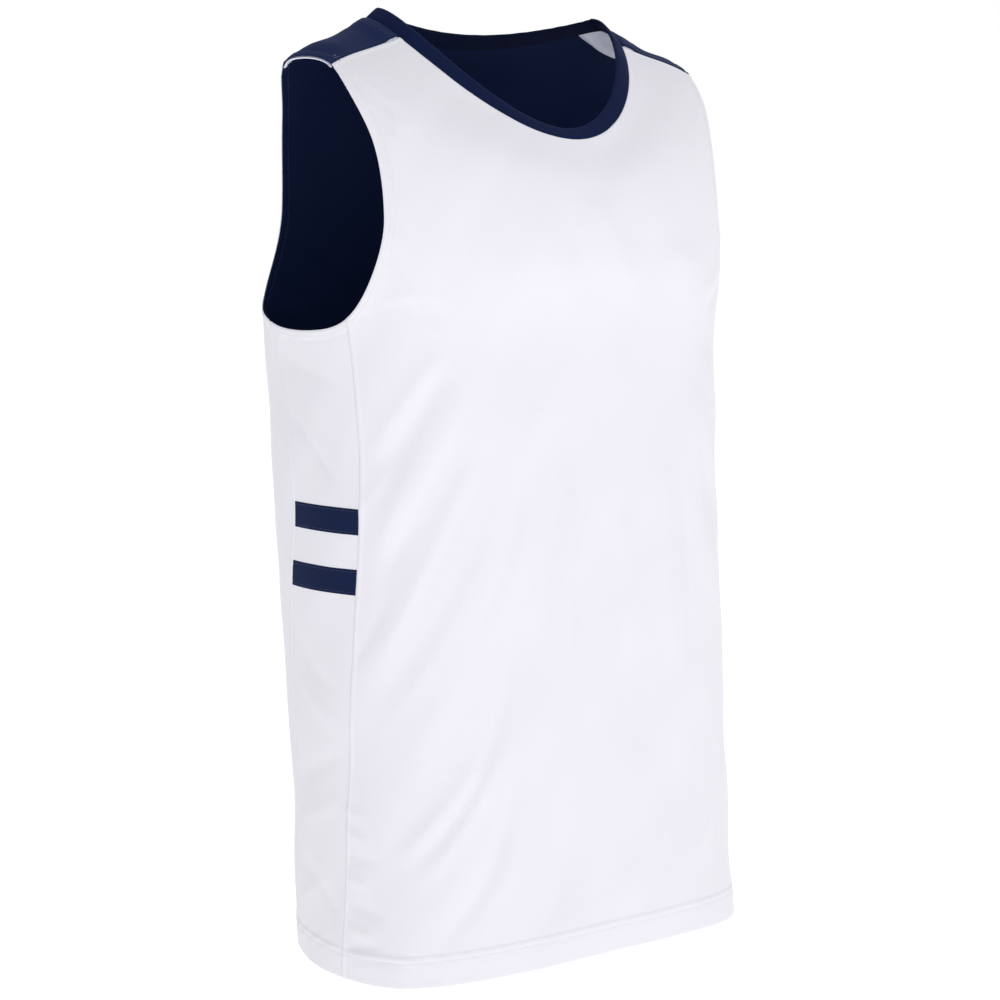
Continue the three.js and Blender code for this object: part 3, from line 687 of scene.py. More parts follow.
def surface(angle, level, panel, side, ply, context):
    """The cloth's outer face, its normals, and the distances from each kind of edge."""
    cloth, sewing = sizes_of(context)
    base = body_point(angle, level)
    out = body_normal(angle, level)
    trees = edge_trees(panel, side)
    far = np.full(angle.shape, FAR)
    d = {kind: distance_to(found, base) if found else far for kind, found in trees.items()}
    pucker = np.sin(2 * math.pi * (base @ PUCKER_WAY) / sewing.pucker_length)
    free = ramp(np.minimum(d["neck"], d["armhole"]), 0, CALM_REACH)
    fine = fold_lift(angle, level, SMALL_FOLDS, SMALL_CREST) + unevenness(base)
    lift = cloth.drag_depth * fold_lift(angle, level, LARGE_FOLDS)
    lift += cloth.fold_depth * fine * mix(CALM_SHARE, 1, free)
    outer = ply == "outer"
    sign = 1 if outer else INNER_SHARE
    lift += sign * (seam_lift(d["seam"], panel) + armhole_lift(d["armhole"], pucker, sewing)
                    + hem_lift(d["hem"], pucker, sewing))
    lift += neck_lift(d["neck"], panel, sewing) + hem_draw(d["hem"], sewing)
    if not outer:
        lift += fold_lift(angle, level, INNER_FOLDS) * free - cloth.ply_spacing / MM
    return base, out, lift, d


def dense(steps, spans):
    """Stations from 0 to 1: equal steps, with finer stretches (start, end, step) at some places."""
    stations = set(np.round(np.linspace(0, 1, steps + 1), 6))
    for start, end, step in spans:
        stations.update(np.round(np.arange(start, end, step), 6))
    ordered = np.array(sorted(stations))
    keep = np.concatenate(([True], np.diff(ordered) > LEAST_STEP))
    keep[-1] = True
    return ordered[keep]


def low_levels():
    """Levels of the rows below the armhole, one millimetre apart over the hem."""
    levels = list(np.arange(0, HEM_TOP, HEM_ROW))
    return levels + list(np.linspace(levels[-1], PANEL_ROWS[-1], ROWS["low"] + 1)[1:])


def dip_share(share):
    near = np.minimum(np.minimum(share, 1 - share) / DIP_REACH, 1)
    return 1 - (1 - near) ** 2


def patch(left, right, low, high, u, v):
    """Places between four runs: left and right run up, low and high run from left to right."""
    u = u[None, :, None]
    v = v[:, None, None]
    corners = mix(mix(low[0], low[-1], u), mix(high[0], high[-1], u), v)
    return mix(low[None], high[None], v) + mix(left[:, None], right[:, None], u) - corners


def body_places(name):
    """Front or back as a grid of places, from the hem up and from one side seam round to the other."""
    is_back = name == "back"
    side_name, yoke_name = f"{name}_side", f"{name}_yoke"
    first, last = (1, -1) if is_back else (-1, 1)

    def onward(places):
        """Behind, angles go on past 180 degrees."""
        places = places.copy()
        if is_back:
            places[..., 0] = np.where(places[..., 0] < 0, places[..., 0] + 360, places[..., 0])
        return places

    parts = 2 * YOKE_STEPS + NECK_STEPS[name]
    corner = YOKE_STEPS / parts
    u = dense(parts * COLUMNS_PER_PART[name], BODY_EDGES)
    top = seam_top(side_name)
    levels = np.concatenate([low_levels(), np.linspace(PANEL_ROWS[-1], top, ROWS["underarm"] + 1)[1:]])
    start = onward(side_seam(side_name, levels, first))[:, 0]
    end = onward(side_seam(side_name, levels, last))[:, 0]
    dip = UNDERARM_DIP[name] * (levels / top) ** 4
    low = np.stack([mix(start[:, None], end[:, None], u[None]),
                    levels[:, None] - dip[:, None] * dip_share(u)[None]], axis=-1)
    v = dense(ROWS["upper"], BODY_ENDS)
    left = onward(armhole_run(side_name, yoke_name, v, first))
    right = onward(armhole_run(side_name, yoke_name, v, last))
    high = np.zeros((len(u), 2))
    before, after = u <= corner, u >= 1 - corner
    between = ~before & ~after
    high[before] = onward(yoke_seam(yoke_name, u[before] / corner, first))
    high[after] = onward(yoke_seam(yoke_name, (1 - u[after]) / corner, last))
    neck_start, neck_end = high[before][-1, 0], high[after][0, 0]
    share = (u[between] - corner) / (1 - 2 * corner)
    high[between] = np.stack([mix(neck_start, neck_end, share), np.full(share.shape, NECK_LEVEL)], axis=1)
    upper = patch(left, right, low[-1], high, u, v)
    return np.concatenate([low, upper[1:]])


def side_places(side):
    """A side panel: rows from the hem to the armhole, columns from its front seam to its back seam."""
    count = len(PANEL_ROWS) + 1
    index = np.arange(count + 1)

    def seam_levels(seam):
        top = seam_top(seam)
        return np.array([*PANEL_ROWS, mix(PANEL_ROWS[-1], top, 0.5), top])

    front_levels, back_levels = seam_levels("front_side"), seam_levels("back_side")
    hem_rows = np.interp(low_levels(), front_levels, index)
    rest = np.linspace(hem_rows[-1], count, ROWS["side_top"] + 1)[1:]
    fine_end = count - np.array(SIDE_ENDS)
    r = np.array(sorted({*np.round(hem_rows, 5), *np.round(rest, 5), *np.round(fine_end, 5)}))
    u = dense(COLUMNS["side"], SIDE_EDGES)
    v = r / count
    front = side_seam("front_side", np.interp(r, index, front_levels), side)
    back = side_seam("back_side", np.interp(r, index, back_levels), side)
    straight = mix(front[:, None], back[:, None], u[None, :, None])
    underarm = armhole_run("back_side", "front_side", 1 - u, side)
    low = mix(front[0], back[0], u[:, None])
    bent = patch(front, back, low, underarm, u, v)
    turn = PANEL_ROWS.index(TAPES["upper"][1])
    share = np.clip((r - turn) / (count - turn), 0, 1)
    return mix(straight, bent, share[:, None, None])


def yoke_places(side):
    """A yoke: rows from the armhole to the neckband, columns from its front seam to its back seam."""
    u = dense(COLUMNS["yoke"], YOKE_EDGES)
    v = dense(ROWS["yoke"], YOKE_ENDS)
    front = yoke_seam("front_yoke", v, side)
    back = yoke_seam("back_yoke", v, side)
    tip = armhole_run("front_yoke", "back_yoke", u, side)
    neck = np.stack([side * mix(YOKE_NECK["front_yoke"], YOKE_NECK["back_yoke"], u),
                     np.full(u.shape, NECK_LEVEL)], axis=1)
    return patch(front, back, tip, neck, u, v)


# Meshes

def flat_map(points):
    """Lengths along and up the cloth, in metres, for the knit's direction and scale."""
    middle = points.shape[1] // 2
    across = run_along(points)
    across -= across[:, middle:middle + 1]
    up = run_along(points[:, middle])[:, None] + 0 * across
    return np.stack([across, up], axis=-1) * MM


def write_mesh(name, points, faces, flat=None):
    mesh = bpy.data.meshes.new(name)
    mesh.from_pydata((points * MM).tolist(), [], faces)
    mesh.polygons.foreach_set("use_smooth", np.full(len(mesh.polygons), True))
    if flat is not None:
        layer = mesh.uv_layers.new(name="cloth")
        corners = np.zeros(len(mesh.loops), dtype=np.int32)
        mesh.loops.foreach_get("vertex_index", corners)
        layer.data.foreach_set("uv", flat[corners].ravel().astype(np.float32))
    mesh.validate()
    mesh.update()
    piece = bpy.data.objects.new(name, mesh)
    bpy.context.scene.collection.objects.link(piece)
    return piece


def grid_faces(rows, columns, first, flip):
    j, i = np.meshgrid(np.arange(rows - 1), np.arange(columns - 1), indexing="ij")
    a = (first + j * columns + i).ravel()
    quads = np.stack([a, a + 1, a + columns + 1, a + columns], axis=1)
    return quads[:, ::-1] if flip else quads


def shell(name, top, under, flat, out):
    """A thin closed shell between two grids of points."""
    rows, columns = top.shape[:2]
    count = rows * columns
    across = top[0, 1] - top[0, 0]
    up = top[1, 0] - top[0, 0]
    flip = np.dot(np.cross(across, up), out[0, 0]) < 0
    border = (list(range(columns)) + [j * columns + columns - 1 for j in range(1, rows)]
              + [(rows - 1) * columns + i for i in range(columns - 2, -1, -1)]
              + [j * columns for j in range(rows - 2, 0, -1)])
    rim = [(b, a, a + count, b + count) for a, b in zip(border, border[1:] + border[:1])]
    if flip:
        rim = [tuple(reversed(face)) for face in rim]
    faces = (grid_faces(rows, columns, 0, flip).tolist() + rim
             + grid_faces(rows, columns, count, not flip).tolist())
    points = np.concatenate([top.reshape(-1, 3), under.reshape(-1, 3)])
    return write_mesh(name, points, faces, np.concatenate([flat.reshape(-1, 2)] * 2))


def finish_piece(piece, material, nodes=()):
    piece.data.materials.append(material)
    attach(piece, BODY)
    if nodes:
        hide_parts(*nodes)
    return piece


def ply_piece(panel, ply, places, context, hand="", side=0):
    """One panel of one ply, with its turned edges: a thin shell that takes the place of its solid."""
    cloth, sewing = sizes_of(context)
    base, out, lift, d = surface(places[..., 0], places[..., 1], panel, side, ply, context)
    thick = cloth.ply_thickness / MM
    turned = np.maximum(until(d["hem"], sewing.hem_depth, HEM_THICK_FADE),
                        until(d["armhole"], sewing.armhole_hem, ARMHOLE_THICK_FADE))
    edge = np.minimum(ramp(d["hem"], *EDGE_ROUNDING), ramp(d["armhole"], *EDGE_ROUNDING))
    depth = thick * (1 + TURNED_SHARE * turned) * edge
    top = base + out * lift[..., None]
    if ply == "inner":
        # The turned edge grows towards the outer ply, so the inner face stays even, and it ends higher up
        top = top + out * (INNER_TURNED_SHARE * thick * turned)[..., None]
        top[..., 2] += sewing.hem_set_back * until(d["hem"], 0, SET_BACK_FADE)
        if panel == "yoke":
            # The inner yoke's rolled edge stands a little past the outer one
            past = sewing.piping * until(d["armhole"], 0, PIPING_FADE)
            away = unit(base[0] - base[3])[None]
            top = top + away * past[..., None] - out * (PIPING_SINK * past)[..., None]
            depth = depth + PIPING_DEPTH * past
    under = top - out * depth[..., None]
    name = f"{panel}_{'cloth' if ply == 'outer' else 'lining'}{hand}"
    finish, slot = PLY_FINISHES["yoke" if panel == "yoke" else "body", ply]
    piece = shell(name, top, under, flat_map(base), out)
    finish_piece(piece, finish_named(finish, context), [f"{panel}_{ply}{hand}"])


# Materials

class Nodes:
    """A short way to write the nodes of a material or a world."""

    def __init__(self, owner):
        owner.use_nodes = True
        self.owner = owner
        self.nodes = owner.node_tree.nodes
        self.links = owner.node_tree.links
        self.shader = self.nodes.get("Principled BSDF")

    def add(self, kind, **values):
        node = self.nodes.new(kind)
        for key, value in values.items():
            if hasattr(node, key):
                setattr(node, key, value)
            else:
                node.inputs[key.replace("_", " ")].default_value = value
        return node

    def link(self, start, end):
        self.links.new(start, end)

    def math(self, operation, first, second=None):
        node = self.add("ShaderNodeMath", operation=operation)
        for socket, value in zip(node.inputs, (first, second)):
            if isinstance(value, bpy.types.NodeSocket):
                self.link(value, socket)
            elif value is not None:
                socket.default_value = value
        return node.outputs[0]

    def noise(self, **values):
        """A noise that is fixed to the object."""
        place = self.add("ShaderNodeTexCoord")
        noise = self.add("ShaderNodeTexNoise", **values)
        self.link(place.outputs["Object"], noise.inputs["Vector"])
        return noise.outputs[0]

    def blend(self, share, start, end, places=(0.0, 1.0)):
        """From one colour to another as a share goes between two places."""
        node = self.add("ShaderNodeValToRGB")
        for element, place, colour in zip(node.color_ramp.elements, places, (start, end)):
            element.position = place
            element.color = (*colour, 1)
        self.link(share, node.inputs[0])
        return node.outputs[0]

    def emboss(self, height, strength, distance):
        raised = self.add("ShaderNodeBump", Strength=strength, Distance=distance)
        self.link(height, raised.inputs["Height"])
        self.link(raised.outputs[0], self.shader.inputs["Normal"])

    def finish(self, **values):
        """Set the shader's own sockets."""
        for key, value in values.items():
            self.shader.inputs[key.replace("_", " ")].default_value = value


def times(colour, shares):
    return tuple(c * share for c, share in zip(colour, shares))


def knit(name, context):
    """An interlock knit: ribs of loops at their real spacing, a soft sheen, a slightly uneven dye, and
    painted shade between the loops.

    Where a strip is folded, its inner half, beyond the fold, is darker: painted shade."""
    base, tint, uneven_dye_and_loop_shade, rough, gloss, sheen, sheen_tint, fold = KNITS[name]
    cloth = context.scene.jersey_cloth
    colour = times(getattr(context.scene.jersey_colours, base), tint)
    n = Nodes(bpy.data.materials.new(name))
    uv = n.add("ShaderNodeUVMap", uv_map="cloth")
    apart = n.add("ShaderNodeSeparateXYZ")
    n.link(uv.outputs[0], apart.inputs[0])
    across, up = apart.outputs[0], apart.outputs[1]
    turn = n.math("MULTIPLY", across, 2 * math.pi / cloth.wale)
    rib = n.math("ABSOLUTE", n.math("SINE", n.math("MULTIPLY", turn, 0.5)))
    lean = n.math("MULTIPLY", n.math("COSINE", turn), LOOP_LEAN)
    loop = n.math("SINE", n.math("ADD", n.math("MULTIPLY", up, 2 * math.pi / cloth.course), lean))
    weave = n.math("ADD", n.math("MULTIPLY", rib, RIB_SHARE), n.math("MULTIPLY", loop, LOOP_SHARE))
    slub = n.noise(**SLUB)
    n.emboss(n.math("ADD", weave, n.math("MULTIPLY", slub, SLUB_SHARE)), KNIT_EMBOSS, cloth.relief)
    cloud = n.noise(**CLOUD)
    # Colour from the slow cloud, an uneven dye, and from the weave: painted shade between the loops
    shade = n.math("ADD", n.math("MULTIPLY", cloud, CLOUD_SHARE), n.math("MULTIPLY", weave, WEAVE_SHADE_SHARE))
    dye = n.blend(shade, times(colour, [uneven_dye_and_loop_shade] * 3), colour, DYE_AND_SHADE_RANGE)
    # Painted shade: past the fold, the strip's inner half is darkened
    if fold is not None:
        inside = n.math("GREATER_THAN", up, fold)
        darker = n.add("ShaderNodeVectorMath", operation="SCALE")
        n.link(dye, darker.inputs[0])
        share = n.math("SUBTRACT", 1.0, n.math("MULTIPLY", inside, INSIDE_FOLD_SHADE))
        n.link(share, darker.inputs["Scale"])
        dye = darker.outputs[0]
    n.link(dye, n.shader.inputs["Base Color"])
    n.link(n.math("ADD", rough, n.math("MULTIPLY", cloud, CLOUD_ROUGHNESS)), n.shader.inputs["Roughness"])
    n.finish(Specular_IOR_Level=gloss, Sheen_Weight=sheen, Sheen_Roughness=SHEEN_SPREAD,
             Sheen_Tint=(*sheen_tint, 1))
    return n.owner


def thread(name, context):
    """Spun thread: a matt fibre with a fine twist, with painted shade between its turns."""
    base, on_twist, shade_between_turns = THREADS[name]
    colour = tuple(getattr(context.scene.jersey_colours, base))
    n = Nodes(bpy.data.materials.new(name))
    place = n.add("ShaderNodeTexCoord")
    twist = n.add("ShaderNodeTexWave", **TWIST)
    n.link(place.outputs["Object"], twist.inputs["Vector"])
    # Painted shade: darker in the grooves between the twist's turns
    dye = n.blend(twist.outputs["Fac"], times(colour, [shade_between_turns] * 3), times(colour, [on_twist] * 3))
    n.link(dye, n.shader.inputs["Base Color"])
    n.emboss(twist.outputs["Fac"], TWIST_EMBOSS, TWIST_RELIEF)
    n.finish(Roughness=THREAD_ROUGHNESS, Sheen_Weight=THREAD_SHEEN)
    return n.owner


def finish_named(name, context):
    """The material of that name, made when it is first asked for."""
    return bpy.data.materials.get(name) or (knit if name in KNITS else thread)(name, context)


# Sewing

def offset_places(places, distance, inwards):
    """Places moved along the cloth by a distance from a line, towards the side where inwards lies."""
    moved = places.copy()
    for _ in range(OFFSET_ROUNDS):
        angle, level = moved[:, 0], moved[:, 1]
        turn, rise = body_slopes(angle, level)
        start = body_point(places[:, 0], places[:, 1])
        ahead = unit(np.roll(start, -1, axis=0) - np.roll(start, 1, axis=0))
        out = unit(np.cross(turn, rise))
        across = unit(np.cross(out, ahead))
        target_way = np.sign((across * (inwards - start)).sum(1).mean())
        gap = start + across * (target_way * distance) - body_point(angle, level)
        # Two unknowns a point: degrees and levels
        tt, rr, tr = (turn * turn).sum(1), (rise * rise).sum(1), (turn * rise).sum(1)
        gt, gr = (gap * turn).sum(1), (gap * rise).sum(1)
        det = tt * rr - tr * tr
        moved = moved + np.stack([(gt * rr - gr * tr) / det, (gr * tt - gt * tr) / det], axis=1)
    return moved


def cloth_line(places, panel, side, ply, context, proud=0, raised=0):
    """Points on the cloth along a line of places, and the way out of it.

    They stand out by proud, a share of the thread's radius, and by raised, in millimetres."""
    cloth, sewing = sizes_of(context)
    proud = sewing.thread_radius / MM * proud + raised
    only_side = side if panel in ("side", "yoke") else 0
    base, out, lift, _ = surface(places[:, 0], places[:, 1], panel, only_side, ply, context)
    if ply == "inner":
        return base + out * (lift - cloth.ply_thickness / MM * INNER_SINK - proud)[:, None], -out
    return base + out * (lift + proud)[:, None], out


def stitch_mesh(name, runs, finish, context, thickness=1.0):
    """Rows of short stitches. A run is points along a line and the way out of the cloth at each."""
    _, sewing = sizes_of(context)
    radius = sewing.thread_radius / MM * thickness
    length, pitch = sewing.stitch_length / MM, (sewing.stitch_length + sewing.stitch_gap) / MM
    turns = np.arange(STITCH_SIDES) * 2 * math.pi / STITCH_SIDES
    size = len(STITCH_RINGS) * STITCH_SIDES
    local = []
    for ring in range(0, size - STITCH_SIDES, STITCH_SIDES):
        for corner in range(STITCH_SIDES):
            a, b = ring + corner, ring + (corner + 1) % STITCH_SIDES
            local.append((a, b, b + STITCH_SIDES, a + STITCH_SIDES))
    local.append(tuple(range(STITCH_SIDES))[::-1])
    local.append(tuple(range(size - STITCH_SIDES, size)))
    points, faces = [], []
    for line, out in runs:
        run = run_along(line)
        count = max(int(run[-1] / pitch), 1)
        stations = (np.arange(count) + 0.5) * run[-1] / count
        centre = read_along(line, run, stations)
        ahead = unit(read_along(line, run, stations + STITCH_AHEAD)
                     - read_along(line, run, stations - STITCH_AHEAD))
        away = unit(read_along(out, run, stations))
        beside = unit(np.cross(away, ahead))
        for k in range(count):
            first = len(points) * STITCH_SIDES
            for place, share, sink in STITCH_RINGS:
                middle = centre[k] + ahead[k] * place * length + away[k] * sink * radius
                points.append(middle + radius * share * (np.cos(turns)[:, None] * beside[k]
                                                         + np.sin(turns)[:, None] * away[k]))
            faces.extend(tuple(first + i for i in face) for face in local)
    piece = write_mesh(name, np.concatenate(points), faces)
    return finish_piece(piece, finish_named(finish, context))


def armhole_line(part, side, ply, context):
    """The topstitch round an armhole, over one part of it."""
    _, sewing = sizes_of(context)
    start, end, (x, y, z) = ARMHOLE_PARTS[part]
    edge = armhole_run(start, end, np.linspace(-0.02, 1.02, LINE_POINTS["armhole"]), side)
    places = offset_places(edge, sewing.armhole_hem + ARMHOLE_ROW, np.array((side * x, y, z), float))[1:-1]
    return cloth_line(places, part, side, ply, context, PROUD["armhole"])


def hem_line(height, name, side, ply, context):
    """Points at one height above the hem's edge, across one panel."""
    seams = {"front": (("front_side", -1), ("front_side", 1)), "back": (("back_side", 1), ("back_side", -1)),
             "side": (("front_side", side), ("back_side", side))}[name]
    level_guess = height / MM_PER_LEVEL
    start, end = (side_seam(seam, np.array([level_guess]), hand)[0, 0] for seam, hand in seams)
    if name == "back" and end < 0:
        end += 360
    angle = np.linspace(start, end, LINE_POINTS["hem"])
    level = np.full(angle.shape, level_guess)
    for _ in range(HEM_ROUNDS):
        steps = np.linspace(0, 1, HEM_STEPS)[:, None] * level[None]
        path = body_point(np.repeat(angle[None], HEM_STEPS, axis=0), steps)
        length = np.linalg.norm(np.diff(path, axis=0), axis=2).sum(0)
        level = level * height / length
    return cloth_line(np.stack([angle, level], axis=1), name, side, ply, context, PROUD["hem"])


def neck_line(distance, side, context):
    """Points at one distance below the neckband's seam, across a yoke."""
    start, end = side * YOKE_NECK["front_yoke"], side * YOKE_NECK["back_yoke"]
    angle = np.linspace(start, end, LINE_POINTS["neck"])
    places = np.stack([angle, np.full(angle.shape, NECK_LEVEL)], axis=1)
    step = (end - start) / (LINE_POINTS["neck"] - 1)
    longer = np.vstack([places[:1] - (step, 0), places, places[-1:] + (step, 0)])
    moved = offset_places(longer, distance, np.array((0, 0, -400.0)))[1:-1]
    return cloth_line(moved, "yoke", side, "outer", context, PROUD["neck"])


def tack_line(inset, side, context):
    """A short row of white stitches where the front's topstitch runs out on the yoke."""
    edge = armhole_run("front_yoke", "back_yoke", np.linspace(0.0, TACK_SHARE, LINE_POINTS["tack"]), side)
    places = offset_places(edge, inset, np.array((side * 60, 0, 0), float))[1:-1]
    return cloth_line(places, "yoke", side, "outer", context, PROUD["tack"])


def build_tape(name, hand, side, context):
    """A cross tape on a side panel, and its two rows of stitches."""
    low, high = TAPES[name]
    height = (high - low) * MM_PER_LEVEL
    u, v = dense(COLUMNS["side"], SIDE_EDGES), dense(ROWS["tape"], TAPE_ENDS)
    level = mix(low, high, v)
    places = mix(side_seam("front_side", level, side)[:, None],
                 side_seam("back_side", level, side)[:, None], u[None, :, None])
    base, out, lift, _ = surface(places[..., 0], places[..., 1], "side", side, "outer", context)
    edge = np.minimum(v, 1 - v)[:, None] * height
    rolled = mix(TAPE_EDGE, TAPE_HEIGHT, ramp(edge, 0, TAPE_ROLL)) + bump(edge, *TAPE_NEEDLE)
    top = base + out * (lift + rolled)[..., None]
    under = base + out * (lift + TAPE_UNDER)[..., None]
    piece = shell(f"tape_{name}_cloth_{hand}", top, under, flat_map(base), out)
    finish_piece(piece, finish_named("navy_tape_knit", context), [f"tape_{name}_{hand}"])
    runs = []
    for inset in (TAPE_INSET, height - TAPE_INSET):
        row = np.full(LINE_POINTS["tape"], mix(low, high, inset / height))
        line = mix(side_seam("front_side", row, side), side_seam("back_side", row, side),
                   np.linspace(0.01, 0.99, len(row))[:, None])
        runs.append(cloth_line(line, "side", side, "outer", context, raised=TAPE_PROUD))
    stitch_mesh(f"tape_{name}_stitches_{hand}", runs, "navy_thread", context)


# Neckband

def band_tilt(angle):
    cosine = np.cos(np.radians(angle))
    end = np.where(cosine >= 0, BAND_TILT["front"], BAND_TILT["back"])
    return np.radians(mix(BAND_TILT["side"], end, cosine * cosine))


def band_points(angle, rise, out_of):
    """Points of the band at an angle round the neck, a rise up it and a depth out of it."""
    level = np.full(angle.shape, float(NECK_LEVEL))
    seam = body_point(angle, level)
    ahead = unit(body_point(angle + ANGLE_STEP, level) - body_point(angle - ANGLE_STEP, level))
    cloth_out = body_normal(angle, level)
    cloth_up = unit(np.cross(cloth_out, ahead))
    inward = unit(np.stack([-ahead[:, 1], ahead[:, 0], 0 * angle], axis=1))
    upright = unit(np.cross(ahead, inward))
    tilt = band_tilt(angle)[:, None]
    up = inward * np.sin(tilt) + upright * np.cos(tilt)
    out = unit(np.cross(ahead, up))
    share = smooth(rise / BAND_BLEND)
    up_here = unit(mix(cloth_up, up, share))
    out_here = unit(mix(cloth_out, out, share))
    return seam + up_here * rise + out_here * out_of, out_here


def build_neckband(context):
    """The band: a folded double strip round the neck, with a rolled free edge."""
    angle = np.linspace(0, 360, BAND_COLUMNS, endpoint=False)
    rings = []
    wave = sum(height * np.sin(np.radians(angle) * waves + start) for height, waves, start in BAND_WAVES)
    for rise, out_of in BAND_SECTION:
        swell = wave * smooth((rise - 1) / 4)
        points, out = band_points(angle, rise, out_of)
        rings.append(points + out * swell[:, None])
    grid = np.stack(rings, axis=1)
    count, size = grid.shape[:2]
    j, i = np.meshgrid(np.arange(count), np.arange(size), indexing="ij")
    a, b = j * size + i, (j + 1) % count * size + i
    k = (i + 1) % size
    c, d = (j + 1) % count * size + k, j * size + k
    faces = np.stack([a.ravel(), b.ravel(), c.ravel(), d.ravel()], axis=1).tolist()
    run, up = run_along(grid[:, 4]), run_along(grid[0])
    flat = np.stack(np.broadcast_arrays(run[:, None], up[None]), axis=-1).reshape(-1, 2) * MM
    piece = write_mesh("neckband_cloth", grid.reshape(-1, 3), faces, flat)
    return finish_piece(piece, finish_named("navy_rib_band", context), ["neckband"])


# Settings

class JerseyCloth(bpy.types.PropertyGroup):
    """Sizes of the cloth"""

    ply_thickness: bpy.props.FloatProperty(
        name="Ply thickness", description="Thickness of one knit ply", default=0.00055,
        min=0.0002, max=0.001, precision=5, unit="LENGTH")
    ply_spacing: bpy.props.FloatProperty(
        name="Ply spacing", description="From the outer ply's face to the inner ply's", default=0.0013,
        min=0.001, max=0.002, precision=5, unit="LENGTH")
    drag_depth: bpy.props.FloatProperty(
        name="Large folds", description="Share of the large folds' tabled heights", default=0.5,
        min=0.0, max=1.5)
    fold_depth: bpy.props.FloatProperty(
        name="Small folds", description="How deep the small folds are, beside the tabled heights",
        default=1.45, min=0.0, max=1.5)
    wale: bpy.props.FloatProperty(
        name="Wale", description="Width of one rib of the knit", default=0.0011,
        min=0.0003, max=0.003, precision=5, unit="LENGTH")
    course: bpy.props.FloatProperty(
        name="Course", description="Height of one row of loops", default=0.0009,
        min=0.0003, max=0.003, precision=5, unit="LENGTH")
    relief: bpy.props.FloatProperty(
        name="Relief", description="Depth of the knit's ribs", default=0.00007,
        min=0.0, max=0.0003, precision=6, unit="LENGTH")


class JerseySewing(bpy.types.PropertyGroup):
    """Sizes of hems, seams and stitches. Those without a unit are millimetres"""

    hem_depth: bpy.props.FloatProperty(
        name="Hem depth", description="Upper needle line above the hem's edge, in millimetres",
        default=25.0, min=10, max=40)
    hem_set_back: bpy.props.FloatProperty(
        name="Hem set-back", description="How much shorter the inner ply is, in millimetres",
        default=0.6, min=0, max=3)
    needle_gap: bpy.props.FloatProperty(
        name="Needle gap", description="Between the hem's two needle lines, in millimetres",
        default=5.0, min=2, max=8)
    armhole_hem: bpy.props.FloatProperty(
        name="Armhole hem", description="Depth of the turned armhole edge, in millimetres",
        default=8.0, min=5, max=15)
    neck_near: bpy.props.FloatProperty(
        name="Near neck row", description="First topstitch below the neckband, in millimetres",
        default=6.0, min=2, max=8)
    neck_far: bpy.props.FloatProperty(
        name="Far neck row", description="Second topstitch below the neckband, in millimetres",
        default=9.5, min=6, max=14)
    neck_step: bpy.props.FloatProperty(
        name="Yoke step", description="How far the yoke stands over the seam allowance by the band",
        default=2.2, min=0, max=3)
    piping: bpy.props.FloatProperty(
        name="Inner yoke edge",
        description="How far the inner yoke shows past the outer one, in millimetres",
        default=0.9, min=0, max=2)
    pucker_length: bpy.props.FloatProperty(
        name="Pucker length", description="Between puckers along a stitched hem, in millimetres",
        default=8.5, min=3, max=20)
    stitch_length: bpy.props.FloatProperty(
        name="Stitch length", description="Length of one stitch", default=0.0024,
        min=0.001, max=0.005, precision=5, unit="LENGTH")
    stitch_gap: bpy.props.FloatProperty(
        name="Stitch gap", description="Between two stitches", default=0.0007,
        min=0.0002, max=0.002, precision=5, unit="LENGTH")
    thread_radius: bpy.props.FloatProperty(
        name="Thread radius", description="Half the thread's thickness", default=0.00018,
        min=0.0001, max=0.0004, precision=5, unit="LENGTH")


class JerseyColours(bpy.types.PropertyGroup):
    """Colours of the cloth and the studio"""

    white: bpy.props.FloatVectorProperty(
        name="White", description="White knit", subtype="COLOR", size=3, min=0, max=1,
        default=(0.866, 0.856, 0.910))
    navy: bpy.props.FloatVectorProperty(
        name="Navy", description="Navy knit", subtype="COLOR", size=3, min=0, max=1,
        default=(0.010, 0.022, 0.085))
    band: bpy.props.FloatVectorProperty(
        name="Band navy", description="Neckband and tapes", subtype="COLOR", size=3, min=0, max=1,
        default=(0.005, 0.012, 0.056))
    floor: bpy.props.FloatVectorProperty(
        name="Floor", description="Floor", subtype="COLOR", size=3, min=0, max=1,
        default=(0.97, 0.97, 0.97))


class JerseyStage(bpy.types.PropertyGroup):
    """The studio"""

    floor_drop: bpy.props.FloatProperty(
        name="Floor drop", description="How far the floor lies below the hem", default=0.9,
        min=0.1, max=3, unit="LENGTH")
    floor_glow: bpy.props.FloatProperty(
        name="Floor glow", description="Light that the white floor gives by itself", default=0.45,
        min=0, max=1)
    surround: bpy.props.FloatProperty(
        name="Surround", description="Light from all round", default=0.82, min=0, max=2)
    overhead: bpy.props.FloatProperty(
        name="Overhead", description="Light from straight above", default=0.80, min=0, max=2)
    right_share: bpy.props.FloatProperty(
        name="Right share", description="Share of the surround that comes from the wearer's right",
        default=0.56, min=0, max=1)
    key: bpy.props.FloatProperty(
        name="Key light", description="Power of the large light before the jersey", default=10.5,
        min=0, max=500, subtype="POWER")
    fill: bpy.props.FloatProperty(
        name="Side light", description="Power of the light beside the jersey", default=3.0,
        min=0, max=500, subtype="POWER")


# Operators

class JERSEY_OT_stage(bpy.types.Operator):
    """Set the camera, the floor and soft studio light"""

    bl_idname = "jersey.stage"
    bl_label = "Studio"

    def execute(self, context):
        stage = context.scene.jersey_stage
        add_camera(context)
        add_floor(context)
        add_light(context, "key_light", stage.key)
        add_light(context, "side_light", stage.fill)
        add_surround(context)
        context.scene.view_settings.view_transform = "Standard"
        context.scene.view_settings.look = "None"
        return {"FINISHED"}


class JERSEY_OT_front(bpy.types.Operator):
    """Make the front's outer and inner ply"""

    bl_idname = "jersey.front"
    bl_label = "Front"

    def execute(self, context):
        places = body_places("front")
        ply_piece("front", "outer", places, context)
        ply_piece("front", "inner", places[::2, ::2], context)
        return {"FINISHED"}


